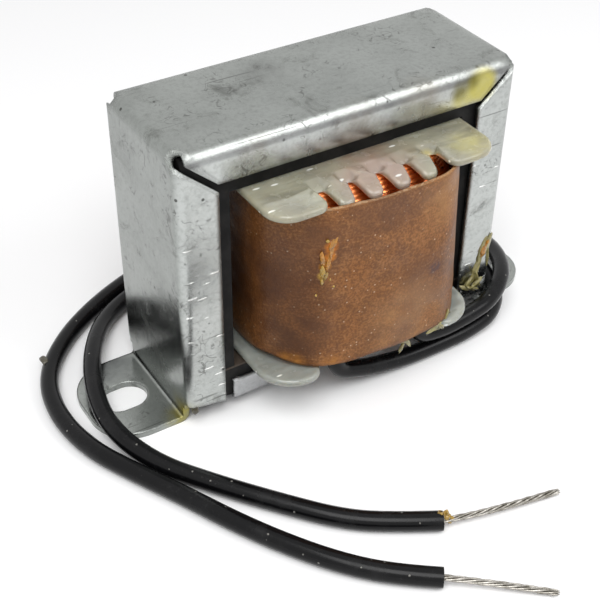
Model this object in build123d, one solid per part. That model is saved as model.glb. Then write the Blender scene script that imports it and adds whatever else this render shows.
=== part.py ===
"""Open-frame power choke: EI core in a folded channel bracket, bobbin coil and two loose leads.

Millimetres. X runs along the mounting slots, the coil's front faces -Y and Z is up. The origin is on the mounting
plane, midway between the feet.
"""

import math
import os

from build123d import *

# Core laminations
TONGUE = 12.7
LEG = 6.35
WINDOW_WIDTH = 11.1
WINDOW_HEIGHT = 27.4
YOKE = 6.1
STACK = 16.8
I_HEIGHT = 4.5
AIR_GAP = 0.3

# Keeper channel under the core
KEEPER_LENGTH = 35.8
KEEPER_SHEET = 0.6
KEEPER_LIP = 3.4
KEEPER_LIFT = 1.6

# Channel bracket
SHEET = 0.9
BEND = 0.5
LIP_BEND = 0.25
FOLD = 0.4
SIDE_LIP = 5.6
TOP_LIP = 4.9
MITRE_GAP = 0.85
CORNER_RELIEF = 1.4
RELIEF_RADIUS = 0.8
LIP_END = 2.5
LIP_END_SLANT = 1.0
FOOT_LENGTH = 10.7
FOOT_WIDTH = 15.4
FOOT_CORNER = 6.0
FOOT_NECK = 2.6
SLOT_OFFSET = 5.15
SLOT_WIDTH = 5.2
SLOT_LENGTH = 6.6

# Bobbin
TUBE_WALL = 1.0
TUBE_CORNER = 0.8
FLANGE = 1.1
FLANGE_EDGE = 0.3
LOBE_ROUND = 3.4
LOBE_CORNER = 1.2
LOBE_OVERHANG = 1.8
TEETH = 4
TOOTH_PITCH = 4.1
TOOTH_WIDTH = 2.45
TOOTH_LENGTH = 5.2
TOOTH_OVERHANG = 2.0
BOBBIN_SHIFT = 0.65

# Winding and wrap
COIL_BUILD = 6.6
WRAP_SIDE_MARGIN = 1.5
WRAP_CORNER = 7.0
WRAP_BULGE = 2.2
WRAP_THICKNESS = 0.35
SHOULDER_STEP = 1.8
SHOULDER_DROP = 1.5

# Leads
LEAD_DIAMETER = 2.5
STRAND_DIAMETER = 1.0
STRIP_LEAD_IN = 2.5
SPLICE_DIAMETER = 2.2
SPLICE_LENGTH = 10.0
LEAD_RISE = 1.4
START_INSET = 3.0

# Clearances
SIDE_FIT = 0.3
TOP_FIT = 0.1
STACK_FIT = 0.1
TUBE_FIT = 0.15
WINDOW_FIT = 0.15
BOBBIN_END_FIT = 0.1
WINDING_FIT = 0.05
WINDING_END_FIT = 0.05
WRAP_FIT = 0.25
WRAP_END_FIT = 0.1
LEAD_WRAP_FIT = 1.7
LEAD_LOBE_FIT = 0.4
SPLICE_FIT = 0.25
TOOL_MARGIN = 1.0

# Heights above the mounting plane
core_bottom = KEEPER_LIFT + KEEPER_SHEET
gap_bottom = core_bottom + I_HEIGHT
window_bottom = gap_bottom + AIR_GAP
window_top = window_bottom + WINDOW_HEIGHT
core_top = window_top + YOKE
height = core_top + TOP_FIT + SHEET

# Plan sizes of the core and the bracket
core_half_width = TONGUE / 2 + WINDOW_WIDTH + LEG
half_width = core_half_width + SIDE_FIT + SHEET
half_depth = STACK / 2 + STACK_FIT + SHEET
foot_tip = half_width + FOOT_LENGTH
slot_x = half_width + SLOT_OFFSET

# Plan sizes of the bobbin, the wrap and the winding, about the middle of a bobbin that sits against the right leg
tube_half = (TONGUE / 2 + TUBE_FIT + BOBBIN_SHIFT, STACK / 2 + TUBE_FIT)
tube_outer_half = (tube_half[0] + TUBE_WALL, tube_half[1] + TUBE_WALL)
flange_half_width = TONGUE / 2 + WINDOW_WIDTH - WINDOW_FIT - BOBBIN_SHIFT
wrap_half = (flange_half_width - WRAP_SIDE_MARGIN, STACK / 2 + COIL_BUILD)
wrap_inset = WRAP_THICKNESS + WRAP_FIT
winding_half = (wrap_half[0] - wrap_inset, wrap_half[1] - wrap_inset)
lobe_reach = wrap_half[1] + LOBE_OVERHANG
tooth_reach = wrap_half[1] + TOOTH_OVERHANG

# Heights inside the bobbin
bobbin_top = window_top - BOBBIN_END_FIT
coil_bottom = window_bottom + FLANGE
coil_top = bobbin_top - FLANGE

# Where the leads come down between the lobes of the bottom flange
slot_gap = TOOTH_PITCH - TOOTH_WIDTH
lobe_edge = (TEETH - 1) / 2 * TOOTH_PITCH + TOOTH_WIDTH / 2 + slot_gap
start_offset = START_INSET - lobe_edge
finish_offset = lobe_edge - LEAD_LOBE_FIT - LEAD_DIAMETER / 2
start_x = BOBBIN_SHIFT + start_offset
finish_x = BOBBIN_SHIFT + finish_offset
lead_y = wrap_half[1] + WRAP_BULGE - WRAP_THICKNESS - LEAD_WRAP_FIT - LEAD_DIAMETER / 2
lead_top = coil_bottom + LEAD_RISE

# Lead routes: down out of the notch, to the right, over the right foot, behind the bracket and back to the front
START_ROUTE = [
    (start_x, -lead_y, lead_top),
    (start_x, -lead_y, 4.9),
    (-1.2, -13.9, 3.2),
    (2.6, -13.9, 2.3),
    (7.0, -13.9, 1.6),
    (12.6, -13.8, 1.4),
    (18.2, -13.7, 1.5),
    (23.6, -12.7, 1.9),
    (27.4, -8.7, 2.6),
    (28.2, -2.2, 3.65),
    (28.1, 5.9, 3.5),
    (26.8, 13.8, 1.7),
    (21.4, 19.2, 1.3),
    (12.8, 21.6, 1.3),
    (2.6, 22.4, 1.3),
    (-7.8, 22.1, 1.3),
    (-17.4, 20.3, 1.3),
    (-25.2, 16.4, 1.6),
    (-30.4, 9.4, 2.8),
    (-33.8, 1.6, 2.9),
    (-35.0, -6.4, 2.7),
    (-32.3, -13.8, 1.4),
    (-27.6, -20.6, 1.3),
    (-22.6, -27.2, 1.3),
    (-17.0, -34.0, 1.3),
    (-12.0, -37.6, 1.3),
    (-6.8, -40.5, 1.3),
]
FINISH_ROUTE = [
    (finish_x, -lead_y, lead_top),
    (finish_x, -lead_y, 5.0),
    (12.6, -14.0, 4.2),
    (17.6, -13.7, 4.4),
    (22.6, -13.1, 5.0),
    (27.4, -9.9, 5.8),
    (30.8, -4.4, 5.1),
    (31.9, 1.8, 3.9),
    (32.4, 10.2, 2.2),
    (29.6, 17.8, 1.3),
    (22.6, 23.0, 1.3),
    (13.4, 25.2, 1.3),
    (3.4, 26.0, 1.3),
    (-7.0, 25.6, 1.3),
    (-16.2, 23.7, 1.3),
    (-24.6, 20.2, 1.3),
    (-32.2, 15.2, 1.3),
    (-37.8, 8.6, 1.3),
    (-39.4, 0.6, 1.3),
    (-38.2, -7.2, 1.3),
    (-35.0, -14.0, 1.3),
    (-31.6, -20.6, 1.3),
    (-28.4, -27.4, 1.3),
    (-24.8, -33.8, 1.3),
    (-20.8, -39.6, 1.3),
    (-16.4, -44.2, 1.3),
    (-12.0, -47.4, 1.3),
]
START_TIP = (9.2, -43.8, 0.6)
FINISH_TIP = (-1.5, -55.8, 0.6)
ARC_SHARE = 0.45


def outline(points, rounds=()):
    """Closed face in a plan of its own, with the given (point, radius) corners rounded."""
    face = make_face(Polyline(*points, close=True))
    for point, radius in rounds:
        corner = face.vertices().sort_by_distance(Vector(*point))[0]
        face = fillet(corner, radius)
    return face


def across(face, depth):
    """Solid of an X-Z face, spread evenly about the middle plane."""
    return extrude(Plane.XZ * face, depth / 2, both=True)


def upright(face, bottom, top):
    """Solid of an X-Y face between two heights."""
    return extrude(Pos(0, 0, bottom) * face, top - bottom)


def rounded(half, corner):
    """Rounded rectangle from its half sizes."""
    return RectangleRounded(2 * half[0], 2 * half[1], corner)


def strap_face():
    """Front view of the bent strip: foot, panel, top, panel and foot."""
    inside = half_width - SHEET
    ceiling = height - SHEET
    points = [
        (-foot_tip, 0),
        (-inside, 0),
        (-inside, ceiling),
        (inside, ceiling),
        (inside, 0),
        (foot_tip, 0),
        (foot_tip, SHEET),
        (half_width, SHEET),
        (half_width, height),
        (-half_width, height),
        (-half_width, SHEET),
        (-foot_tip, SHEET),
    ]
    rounds = []
    for side in (-1, 1):
        rounds.append(((side * inside, 0), FOLD + SHEET))
        rounds.append(((side * half_width, SHEET), FOLD))
        rounds.append(((side * inside, ceiling), BEND))
        rounds.append(((side * half_width, height), BEND + SHEET))
    return outline(points, rounds)


def lipped_face(web, lip_edge):
    """Section of a lipped panel: its web's outer face at web, its lips reaching to lip_edge."""
    inner_web = web - SHEET
    inner_lip = half_depth - SHEET
    points = [
        (lip_edge, -half_depth),
        (web, -half_depth),
        (web, half_depth),
        (lip_edge, half_depth),
        (lip_edge, inner_lip),
        (inner_web, inner_lip),
        (inner_web, -inner_lip),
        (lip_edge, -inner_lip),
    ]
    rounds = []
    for side in (-1, 1):
        rounds.append(((web, side * half_depth), LIP_BEND + SHEET))
        rounds.append(((inner_web, side * inner_lip), LIP_BEND))
    return outline(points, rounds)


def top_panel():
    """Top panel with its front and back lips, their ends mitred."""
    lip_edge = height - TOP_LIP
    inner_x = half_width - SIDE_LIP
    end_x = half_width - CORNER_RELIEF
    mitre_z = lip_edge + (end_x - inner_x) * TOP_LIP / SIDE_LIP
    trapezium = outline(
        [
            (-inner_x, lip_edge),
            (inner_x, lip_edge),
            (end_x, mitre_z),
            (end_x, height),
            (-end_x, height),
            (-end_x, mitre_z),
        ]
    )
    section = Plane.YZ * (Rot(0, 0, 90) * lipped_face(height, lip_edge))
    return extrude(section, half_width, both=True) & across(trapezium, 2 * half_depth)


def side_panel(side):
    """Side panel with its lips, mitred at the top and cut on a slant above the foot."""
    inner_x = half_width - SIDE_LIP
    end_z = height - CORNER_RELIEF
    slope = TOP_LIP / SIDE_LIP
    mitre_z = height - TOP_LIP - MITRE_GAP * math.hypot(TOP_LIP, SIDE_LIP) / SIDE_LIP
    mitre_x = inner_x + (end_z - mitre_z) / slope
    trapezium = outline(
        [
            (inner_x, LIP_END),
            (half_width, LIP_END + LIP_END_SLANT),
            (half_width, end_z),
            (mitre_x, end_z),
            (inner_x, mitre_z),
        ]
    )
    panel = upright(lipped_face(half_width, inner_x), 0, height) & across(trapezium, 2 * half_depth)
    return panel if side > 0 else mirror(panel, about=Plane.YZ)


def corner_notch(side, face):
    """Round relief in the strip's edge where the top bends into a side."""
    edge = half_depth - LIP_BEND - SHEET
    middle = Vector(side * (half_width - SHEET), face * edge, height - SHEET)
    bisector = Plane(origin=middle, x_dir=(0, 1, 0), z_dir=(side, 0, 1))
    return bisector * Cylinder(RELIEF_RADIUS, 2 * CORNER_RELIEF + 2 * SHEET)


def channel_bracket():
    """One folded sheet: a strip bent to an inverted U, lipped on three sides, with slotted feet."""
    strap = across(strap_face(), 2 * (half_depth - LIP_BEND - SHEET))
    below_neck = Pos(0, 0, FOOT_NECK / 2) * Box(2 * foot_tip, 2 * half_depth, FOOT_NECK)
    foot_plan = RectangleRounded(2 * foot_tip, FOOT_WIDTH, FOOT_CORNER)
    bracket = (strap - below_neck) + (strap & upright(foot_plan, 0, FOOT_NECK))
    bracket += top_panel()
    for side in (-1, 1):
        bracket += side_panel(side)
        slot = Pos(side * slot_x, 0) * SlotOverall(SLOT_LENGTH, SLOT_WIDTH)
        bracket -= upright(slot, -TOOL_MARGIN, SHEET + TOOL_MARGIN)
        for face in (-1, 1):
            bracket -= corner_notch(side, face)
    return bracket


def keeper_channel():
    """Shallow channel that holds the I stack from below."""
    half = STACK / 2 + KEEPER_SHEET
    top = KEEPER_LIFT + KEEPER_LIP
    points = [(-half, KEEPER_LIFT), (half, KEEPER_LIFT), (half, top), (-half, top)]
    rounds = [((side * half, KEEPER_LIFT), KEEPER_SHEET) for side in (-1, 1)]
    hollow_height = top - core_bottom
    hollow = Pos(0, core_bottom + hollow_height / 2) * Rectangle(STACK, hollow_height)
    return extrude(Plane.YZ * (outline(points, rounds) - hollow), KEEPER_LENGTH / 2, both=True)


def e_lamination_stack():
    """E laminations, yoke up, as one stack."""
    middle = (window_bottom + core_top) / 2
    face = Pos(0, middle) * Rectangle(2 * core_half_width, core_top - window_bottom)
    for side in (-1, 1):
        window_x = side * (TONGUE + WINDOW_WIDTH) / 2
        face -= Pos(window_x, window_bottom + WINDOW_HEIGHT / 2) * Rectangle(WINDOW_WIDTH, WINDOW_HEIGHT)
    return across(face, STACK)


def core_slab(bottom, top):
    """Full-width slab of the core between two heights."""
    return Pos(0, 0, (bottom + top) / 2) * Box(2 * core_half_width, STACK, top - bottom)


def flange_face(teeth):
    """Plan of a flange: lobed ends, and at the front and back the given number of round teeth between them."""
    face = rounded((flange_half_width, lobe_reach), LOBE_ROUND)
    comb_root = tooth_reach - TOOTH_LENGTH
    for front in (-1, 1):
        recess_length = lobe_reach - comb_root
        recess = Pos(0, front * (comb_root + recess_length / 2)) * Rectangle(2 * lobe_edge, recess_length)
        face -= recess
        for side in (-1, 1):
            lobe_tip = Vector(side * lobe_edge, front * lobe_reach)
            face = fillet(face.vertices().sort_by_distance(lobe_tip)[0], LOBE_CORNER)
            root = Vector(side * lobe_edge, front * comb_root)
            face = fillet(face.vertices().sort_by_distance(root)[0], slot_gap / 2)
    for index in range(teeth):
        tooth_x = (index - (teeth - 1) / 2) * TOOTH_PITCH
        tooth_end = tooth_reach - TOOTH_WIDTH / 2
        face += Pos(tooth_x, 0) * Rectangle(TOOTH_WIDTH, 2 * tooth_end)
        for front in (-1, 1):
            face += Pos(tooth_x, front * tooth_end) * Circle(TOOTH_WIDTH / 2)
    return face


def flange(bottom, teeth):
    """Flange with softened edges."""
    plate = upright(flange_face(teeth), bottom, bottom + FLANGE)
    rims = plate.edges().group_by(Axis.Z)
    return fillet(rims[0] + rims[-1], FLANGE_EDGE)


def bobbin():
    """Moulded bobbin: a square tube over the tongue and two lobed flanges, the upper one toothed."""
    body = upright(rounded(tube_outer_half, TUBE_CORNER), window_bottom, bobbin_top)
    body += flange(window_bottom, 0)
    body += flange(coil_top, TEETH)
    bore = Rectangle(2 * tube_half[0], 2 * tube_half[1])
    return body - upright(bore, window_bottom - TOOL_MARGIN, bobbin_top + TOOL_MARGIN)


def swelling(half, corner):
    """Rounded rectangle whose front and back swell out in the middle."""
    across_half, along_half = half
    swell = along_half + WRAP_BULGE
    edges = [
        ThreePointArc((-across_half, -along_half), (0, -swell), (across_half, -along_half)),
        Line((across_half, -along_half), (across_half, along_half)),
        ThreePointArc((across_half, along_half), (0, swell), (-across_half, along_half)),
        Line((-across_half, along_half), (-across_half, -along_half)),
    ]
    face = make_face(edges)
    return fillet(face.vertices(), corner)


def copper_winding():
    """Wound body with stepped ends and two pockets where the leads are joined."""
    bottom = coil_bottom + WINDING_END_FIT
    top = coil_top - WINDING_END_FIT
    corner = WRAP_CORNER - wrap_inset
    core_half = (winding_half[0] - SHOULDER_STEP, winding_half[1] - SHOULDER_STEP)
    body = upright(swelling(winding_half, corner), bottom + SHOULDER_DROP, top - SHOULDER_DROP)
    body += upright(swelling(core_half, corner - SHOULDER_STEP), bottom, top)
    bore_half = (tube_outer_half[0] + WINDING_FIT, tube_outer_half[1] + WINDING_FIT)
    body -= upright(rounded(bore_half, TUBE_CORNER + WINDING_FIT), bottom, top)
    pocket_radius = LEAD_DIAMETER / 2 + SPLICE_FIT
    pocket_top = lead_top + SPLICE_LENGTH + SPLICE_FIT
    for offset in (start_offset, finish_offset):
        mouth = Pos(offset, -lead_y - pocket_radius) * Rectangle(2 * pocket_radius, 2 * pocket_radius)
        pocket = mouth + Pos(offset, -lead_y) * Circle(pocket_radius)
        body -= upright(pocket, bottom, pocket_top)
    return body


def paper_wrap():
    """Paper wrapped round the winding between the flanges."""
    inner_half = (wrap_half[0] - WRAP_THICKNESS, wrap_half[1] - WRAP_THICKNESS)
    ring = swelling(wrap_half, WRAP_CORNER) - swelling(inner_half, WRAP_CORNER - WRAP_THICKNESS)
    return upright(ring, coil_bottom + WRAP_END_FIT, coil_top - WRAP_END_FIT)


def splice(x):
    """Sleeved joint that stands on the lead's inner end, under the wrap."""
    return upright(Pos(x, -lead_y) * Circle(SPLICE_DIAMETER / 2), lead_top, lead_top + SPLICE_LENGTH)


def arc_radii(points):
    """Largest even arc for each corner of a route."""
    radii = []
    for before, here, after in zip(points, points[1:], points[2:]):
        run_in = Vector(*here) - Vector(*before)
        run_out = Vector(*after) - Vector(*here)
        half_turn = math.radians(run_in.get_angle(run_out)) / 2
        radii.append(ARC_SHARE * min(run_in.length, run_out.length) / math.tan(half_turn))
    return radii


def tube(name, points, diameter):
    """Round solid along straight runs joined by tangent arcs."""
    radii = arc_radii(points)
    path = FilletPolyline(*points, radius=radii)
    section = Plane(origin=path @ 0, z_dir=path % 0) * Circle(diameter / 2)
    body = sweep(section, path=path)
    expected = math.pi * diameter**2 / 4 * path.length
    print(name, "length", round(path.length, 1), "volume ratio", round(body.volume / expected, 4))
    print(name, "radii", [round(radius, 1) for radius in radii])
    return body


def strands(name, route, tip):
    """Stripped end: straight out of the insulation, then down to its tip."""
    end = Vector(*route[-1])
    leaving = (end - Vector(*route[-2])).normalized()
    knee = end + leaving * STRIP_LEAD_IN
    return tube(name, [tuple(end), tuple(knee), tip], STRAND_DIAMETER)


PIECES = {
    "channel_bracket": channel_bracket(),
    "keeper_channel": keeper_channel(),
    "e_lamination_stack": e_lamination_stack(),
    "i_lamination_stack": core_slab(core_bottom, gap_bottom),
    "gap_spacer": core_slab(gap_bottom, window_bottom),
    "bobbin": Pos(BOBBIN_SHIFT, 0, 0) * bobbin(),
    "copper_winding": Pos(BOBBIN_SHIFT, 0, 0) * copper_winding(),
    "paper_wrap": Pos(BOBBIN_SHIFT, 0, 0) * paper_wrap(),
    "start_splice": splice(start_x),
    "finish_splice": splice(finish_x),
    "start_lead": tube("start_lead", START_ROUTE, LEAD_DIAMETER),
    "finish_lead": tube("finish_lead", FINISH_ROUTE, LEAD_DIAMETER),
    "start_strands": strands("start_strands", START_ROUTE, START_TIP),
    "finish_strands": strands("finish_strands", FINISH_ROUTE, FINISH_TIP),
}

os.makedirs("parts", exist_ok=True)
for node, solid in PIECES.items():
    export_step(solid, f"parts/{node}.step")
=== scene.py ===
"""Open-frame power choke: looks for its bracket, core, bobbin, coil and leads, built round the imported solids.

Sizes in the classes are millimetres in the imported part's own frame: X along the mounting slots, the coil's
front towards -Y, Z up from the mounting plane. MM turns them into metres where a mesh or a lamp is made.
"""

import logging
import math
from dataclasses import dataclass
from enum import Enum

import bpy
import numpy as np
from mathutils import Euler, Matrix, Vector
from mathutils.geometry import delaunay_2d_cdt


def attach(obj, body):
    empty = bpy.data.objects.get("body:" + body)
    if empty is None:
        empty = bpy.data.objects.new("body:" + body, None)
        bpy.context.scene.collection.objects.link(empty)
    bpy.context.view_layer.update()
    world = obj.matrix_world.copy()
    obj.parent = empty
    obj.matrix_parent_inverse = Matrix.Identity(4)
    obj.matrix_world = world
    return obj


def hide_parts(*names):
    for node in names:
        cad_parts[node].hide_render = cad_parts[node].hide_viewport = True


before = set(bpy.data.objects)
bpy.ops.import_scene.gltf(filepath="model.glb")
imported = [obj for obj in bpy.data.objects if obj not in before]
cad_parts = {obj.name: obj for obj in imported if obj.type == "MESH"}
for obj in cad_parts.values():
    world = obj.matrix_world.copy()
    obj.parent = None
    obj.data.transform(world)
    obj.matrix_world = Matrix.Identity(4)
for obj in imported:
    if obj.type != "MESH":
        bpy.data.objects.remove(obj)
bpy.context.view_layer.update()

LOG = logging.getLogger("power_choke")
MM = 0.001
BODY = "root"

WHITE = (1.0, 1.0, 1.0)
BLACK = (0.0, 0.0, 0.0)

# Height of one wave in a ripple, which keeps the sum of several within about 1
WAVE_HEIGHT = 0.7
# Points on each corner of a rounded rectangle, and rows on each rounded edge of a plate
CORNER_POINTS = 25
EDGE_ROWS = 6
# How far points inside a plate stay from its rim in millimetres, and within what distance points are one
RIM_MARGIN = 0.12
SAME_POINT = 1e-7
# What the triangulation gives back: only the triangles inside the rim
INSIDE_ONLY = 1

Span = tuple[float, float]
Point = tuple[float, float, float]
Colour = tuple[float, float, float]
Socket = bpy.types.NodeSocket
Feed = Socket | float


class Slot(Enum):
    """The record's material slots that pieces are made for."""

    LAMINATION = "lamination_steel"
    NYLON = "natural_nylon"
    COPPER = "enamelled_copper"
    PAPER = "kraft_paper"
    SLEEVE = "sleeve"
    INSULATION = "lead_insulation"
    STRANDS = "tinned_copper"


class Graph:
    """Node tree of one material: a Principled shader fed from Object coordinates.

    Pattern sizes are given in millimetres of the real part.
    """

    def __init__(self, name: str) -> None:
        """Starts an empty tree with its shader.

        Args:
            name: Name of the material.
        """
        self.material = bpy.data.materials.new(name)
        self.material.use_nodes = True
        self.tree = self.material.node_tree
        self.tree.nodes.clear()
        output = self.tree.nodes.new("ShaderNodeOutputMaterial")
        self.shader = self.tree.nodes.new("ShaderNodeBsdfPrincipled")
        self.tree.links.new(self.shader.outputs["BSDF"], output.inputs["Surface"])
        self.place = self.tree.nodes.new("ShaderNodeTexCoord").outputs["Object"]
        self.normal: Socket | None = None

    def feed(self, target: Socket, value: object) -> None:
        """Links a socket, or sets a constant on the target itself."""
        if isinstance(value, Socket):
            self.tree.links.new(value, target)
        else:
            target.default_value = value

    def node(self, kind: str, **inputs: object) -> bpy.types.Node:
        """Adds a node and feeds its inputs, named with underscores for spaces.

        Args:
            kind: Name of the node's type without its prefix.
            inputs: Sockets to link or constants to set.

        Returns:
            The node.
        """
        node = self.tree.nodes.new(f"ShaderNode{kind}")
        for name, value in inputs.items():
            self.feed(node.inputs[name.replace("_", " ")], value)
        return node

    def set(self, **values: object) -> None:
        """Feeds the shader's inputs, named with underscores for spaces."""
        for name, value in values.items():
            if isinstance(value, tuple) and len(value) == 3 and name in ("Base_Color", "Coat_Tint"):
                value = (*value, 1.0)
            self.feed(self.shader.inputs[name.replace("_", " ")], value)

    def mapped(self, stretch: Point, turn: Point = (0.0, 0.0, 0.0)) -> Socket:
        """Object coordinates turned by degrees, then stretched.

        Args:
            stretch: Scale along each axis after the turn.
            turn: Turn in degrees about X, Y and Z.

        Returns:
            The mapped coordinates.
        """
        angles = [math.radians(angle) for angle in turn]
        return self.node("Mapping", Vector=self.place, Rotation=angles, Scale=stretch).outputs["Vector"]

    def noise(self, size: float, detail: float = 3.0, rough: float = 0.55, where: Socket | None = None,
              bend: float = 0.0) -> Socket:
        """Noise between 0 and 1 with features of about the given size in millimetres."""
        node = self.node("TexNoise", Vector=where or self.place, Scale=1.0 / (size * MM), Detail=detail,
                         Roughness=rough, Distortion=bend)
        return node.outputs[0]

    def cells(self, size: float, where: Socket | None = None) -> Socket:
        """Distance to the nearest of random points that lie about size millimetres apart."""
        node = self.node("TexVoronoi", Vector=where or self.place, Scale=1.0 / (size * MM))
        return node.outputs["Distance"]

    def band(self, value: Socket, low: float, high: float, to_low: float = 0.0,
             to_high: float = 1.0) -> Socket:
        """Smooth step of a value from low to high, onto to_low to to_high."""
        node = self.node("MapRange", Value=value, From_Min=low, From_Max=high, To_Min=to_low, To_Max=to_high)
        node.interpolation_type = "SMOOTHSTEP"
        return node.outputs["Result"]

    def span(self, axis: str, between: Span, to_low: float = 0.0, to_high: float = 1.0) -> Socket:
        """Smooth step along an axis between two places in millimetres."""
        return self.band(self.along(axis), between[0] * MM, between[1] * MM, to_low, to_high)

    def ridge(self, value: Socket, low: float, high: float, soft: float) -> Socket:
        """One between low and high, which it reaches over a soft stretch within each of them."""
        return self.join("MULTIPLY", self.band(value, low, low + soft), self.band(value, high, high - soft))

    def join(self, kind: str, *terms: Feed) -> Socket:
        """Arithmetic on two or more terms in turn, each step clamped to 0 to 1.

        Args:
            kind: Name of the operation, such as MULTIPLY.
            terms: The operands.

        Returns:
            The result.
        """
        total = terms[0]
        for term in terms[1:]:
            node = self.node("Math")
            node.operation = kind
            node.use_clamp = True
            self.feed(node.inputs[0], total)
            self.feed(node.inputs[1], term)
            total = node.outputs["Value"]
        return total

    def mix(self, share: Feed, first: Socket | Colour, second: Socket | Colour) -> Socket:
        """Colour that goes from first to second as share goes from 0 to 1."""
        node = self.node("Mix")
        node.data_type = "RGBA"
        self.feed(node.inputs[0], share)
        for socket, colour in ((node.inputs[6], first), (node.inputs[7], second)):
            self.feed(socket, (*colour, 1.0) if isinstance(colour, tuple) else colour)
        return node.outputs[2]

    def over(self, base: Socket, cover: Socket, share: float, colour: Colour) -> Socket:
        """Lays a colour over another by a share of its cover."""
        return self.mix(self.join("MULTIPLY", cover, share), base, colour)

    def spot(self, centre: Point, radius: float, edge: float = 0.6) -> Socket:
        """Soft ball of ones round a point.

        Args:
            centre: Middle of the ball in millimetres.
            radius: Radius at which it has faded to nothing.
            edge: Share of the radius over which it fades.

        Returns:
            One inside, zero outside.
        """
        node = self.node("VectorMath")
        node.operation = "DISTANCE"
        self.feed(node.inputs[0], self.place)
        node.inputs[1].default_value = [value * MM for value in centre]
        return self.band(node.outputs["Value"], radius * MM, radius * (1.0 - edge) * MM)

    def along(self, axis: str) -> Socket:
        """One Object coordinate in metres."""
        return self.node("SeparateXYZ", Vector=self.place).outputs[axis]

    def soften(self, radius: Feed) -> None:
        """Softens how edges catch the light over a radius in metres."""
        node = self.node("Bevel", Radius=radius)
        node.samples = 6
        self.normal = node.outputs["Normal"]

    def bump(self, height: Socket, depth: float, strength: float = 1.0) -> None:
        """Adds relief, depth millimetres deep, over what is there already."""
        node = self.node("Bump", Strength=strength, Distance=depth * MM, Height=height)
        if self.normal is not None:
            self.feed(node.inputs["Normal"], self.normal)
        self.normal = node.outputs["Normal"]
        self.feed(self.shader.inputs["Normal"], self.normal)


@dataclass(frozen=True)
class Stain:
    """A soft coloured patch on a finish.

    Attributes:
        centre: Middle of the patch in millimetres.
        radius: Where it has faded out.
        colour: Its colour.
        share: How far it covers what is under it.
        edge: Share of the radius over which it fades.
        least: Share of it that is left where the noise wears it thinnest.
    """

    centre: Point
    radius: float
    colour: Colour
    share: float
    edge: float = 0.8
    least: float = 0.35

    def over(self, graph: Graph, base: Socket) -> Socket:
        """Lays the patch over a colour, broken up by a fine noise."""
        ragged = graph.band(graph.noise(self.radius * 0.45), 0.3, 0.62, self.least, 1.0)
        cover = graph.join("MULTIPLY", graph.spot(self.centre, self.radius, self.edge), ragged)
        return graph.over(base, cover, self.share, self.colour)


def stained(graph: Graph, base: Socket, stains: tuple[Stain, ...]) -> Socket:
    """Lays stains over a colour, one after the other."""
    for stain in stains:
        base = stain.over(graph, base)
    return base


def scaled(colour: Colour, share: float) -> Colour:
    """Colour made darker or lighter by a share, up to white."""
    return tuple(min(1.0, part * share) for part in colour)


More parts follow.
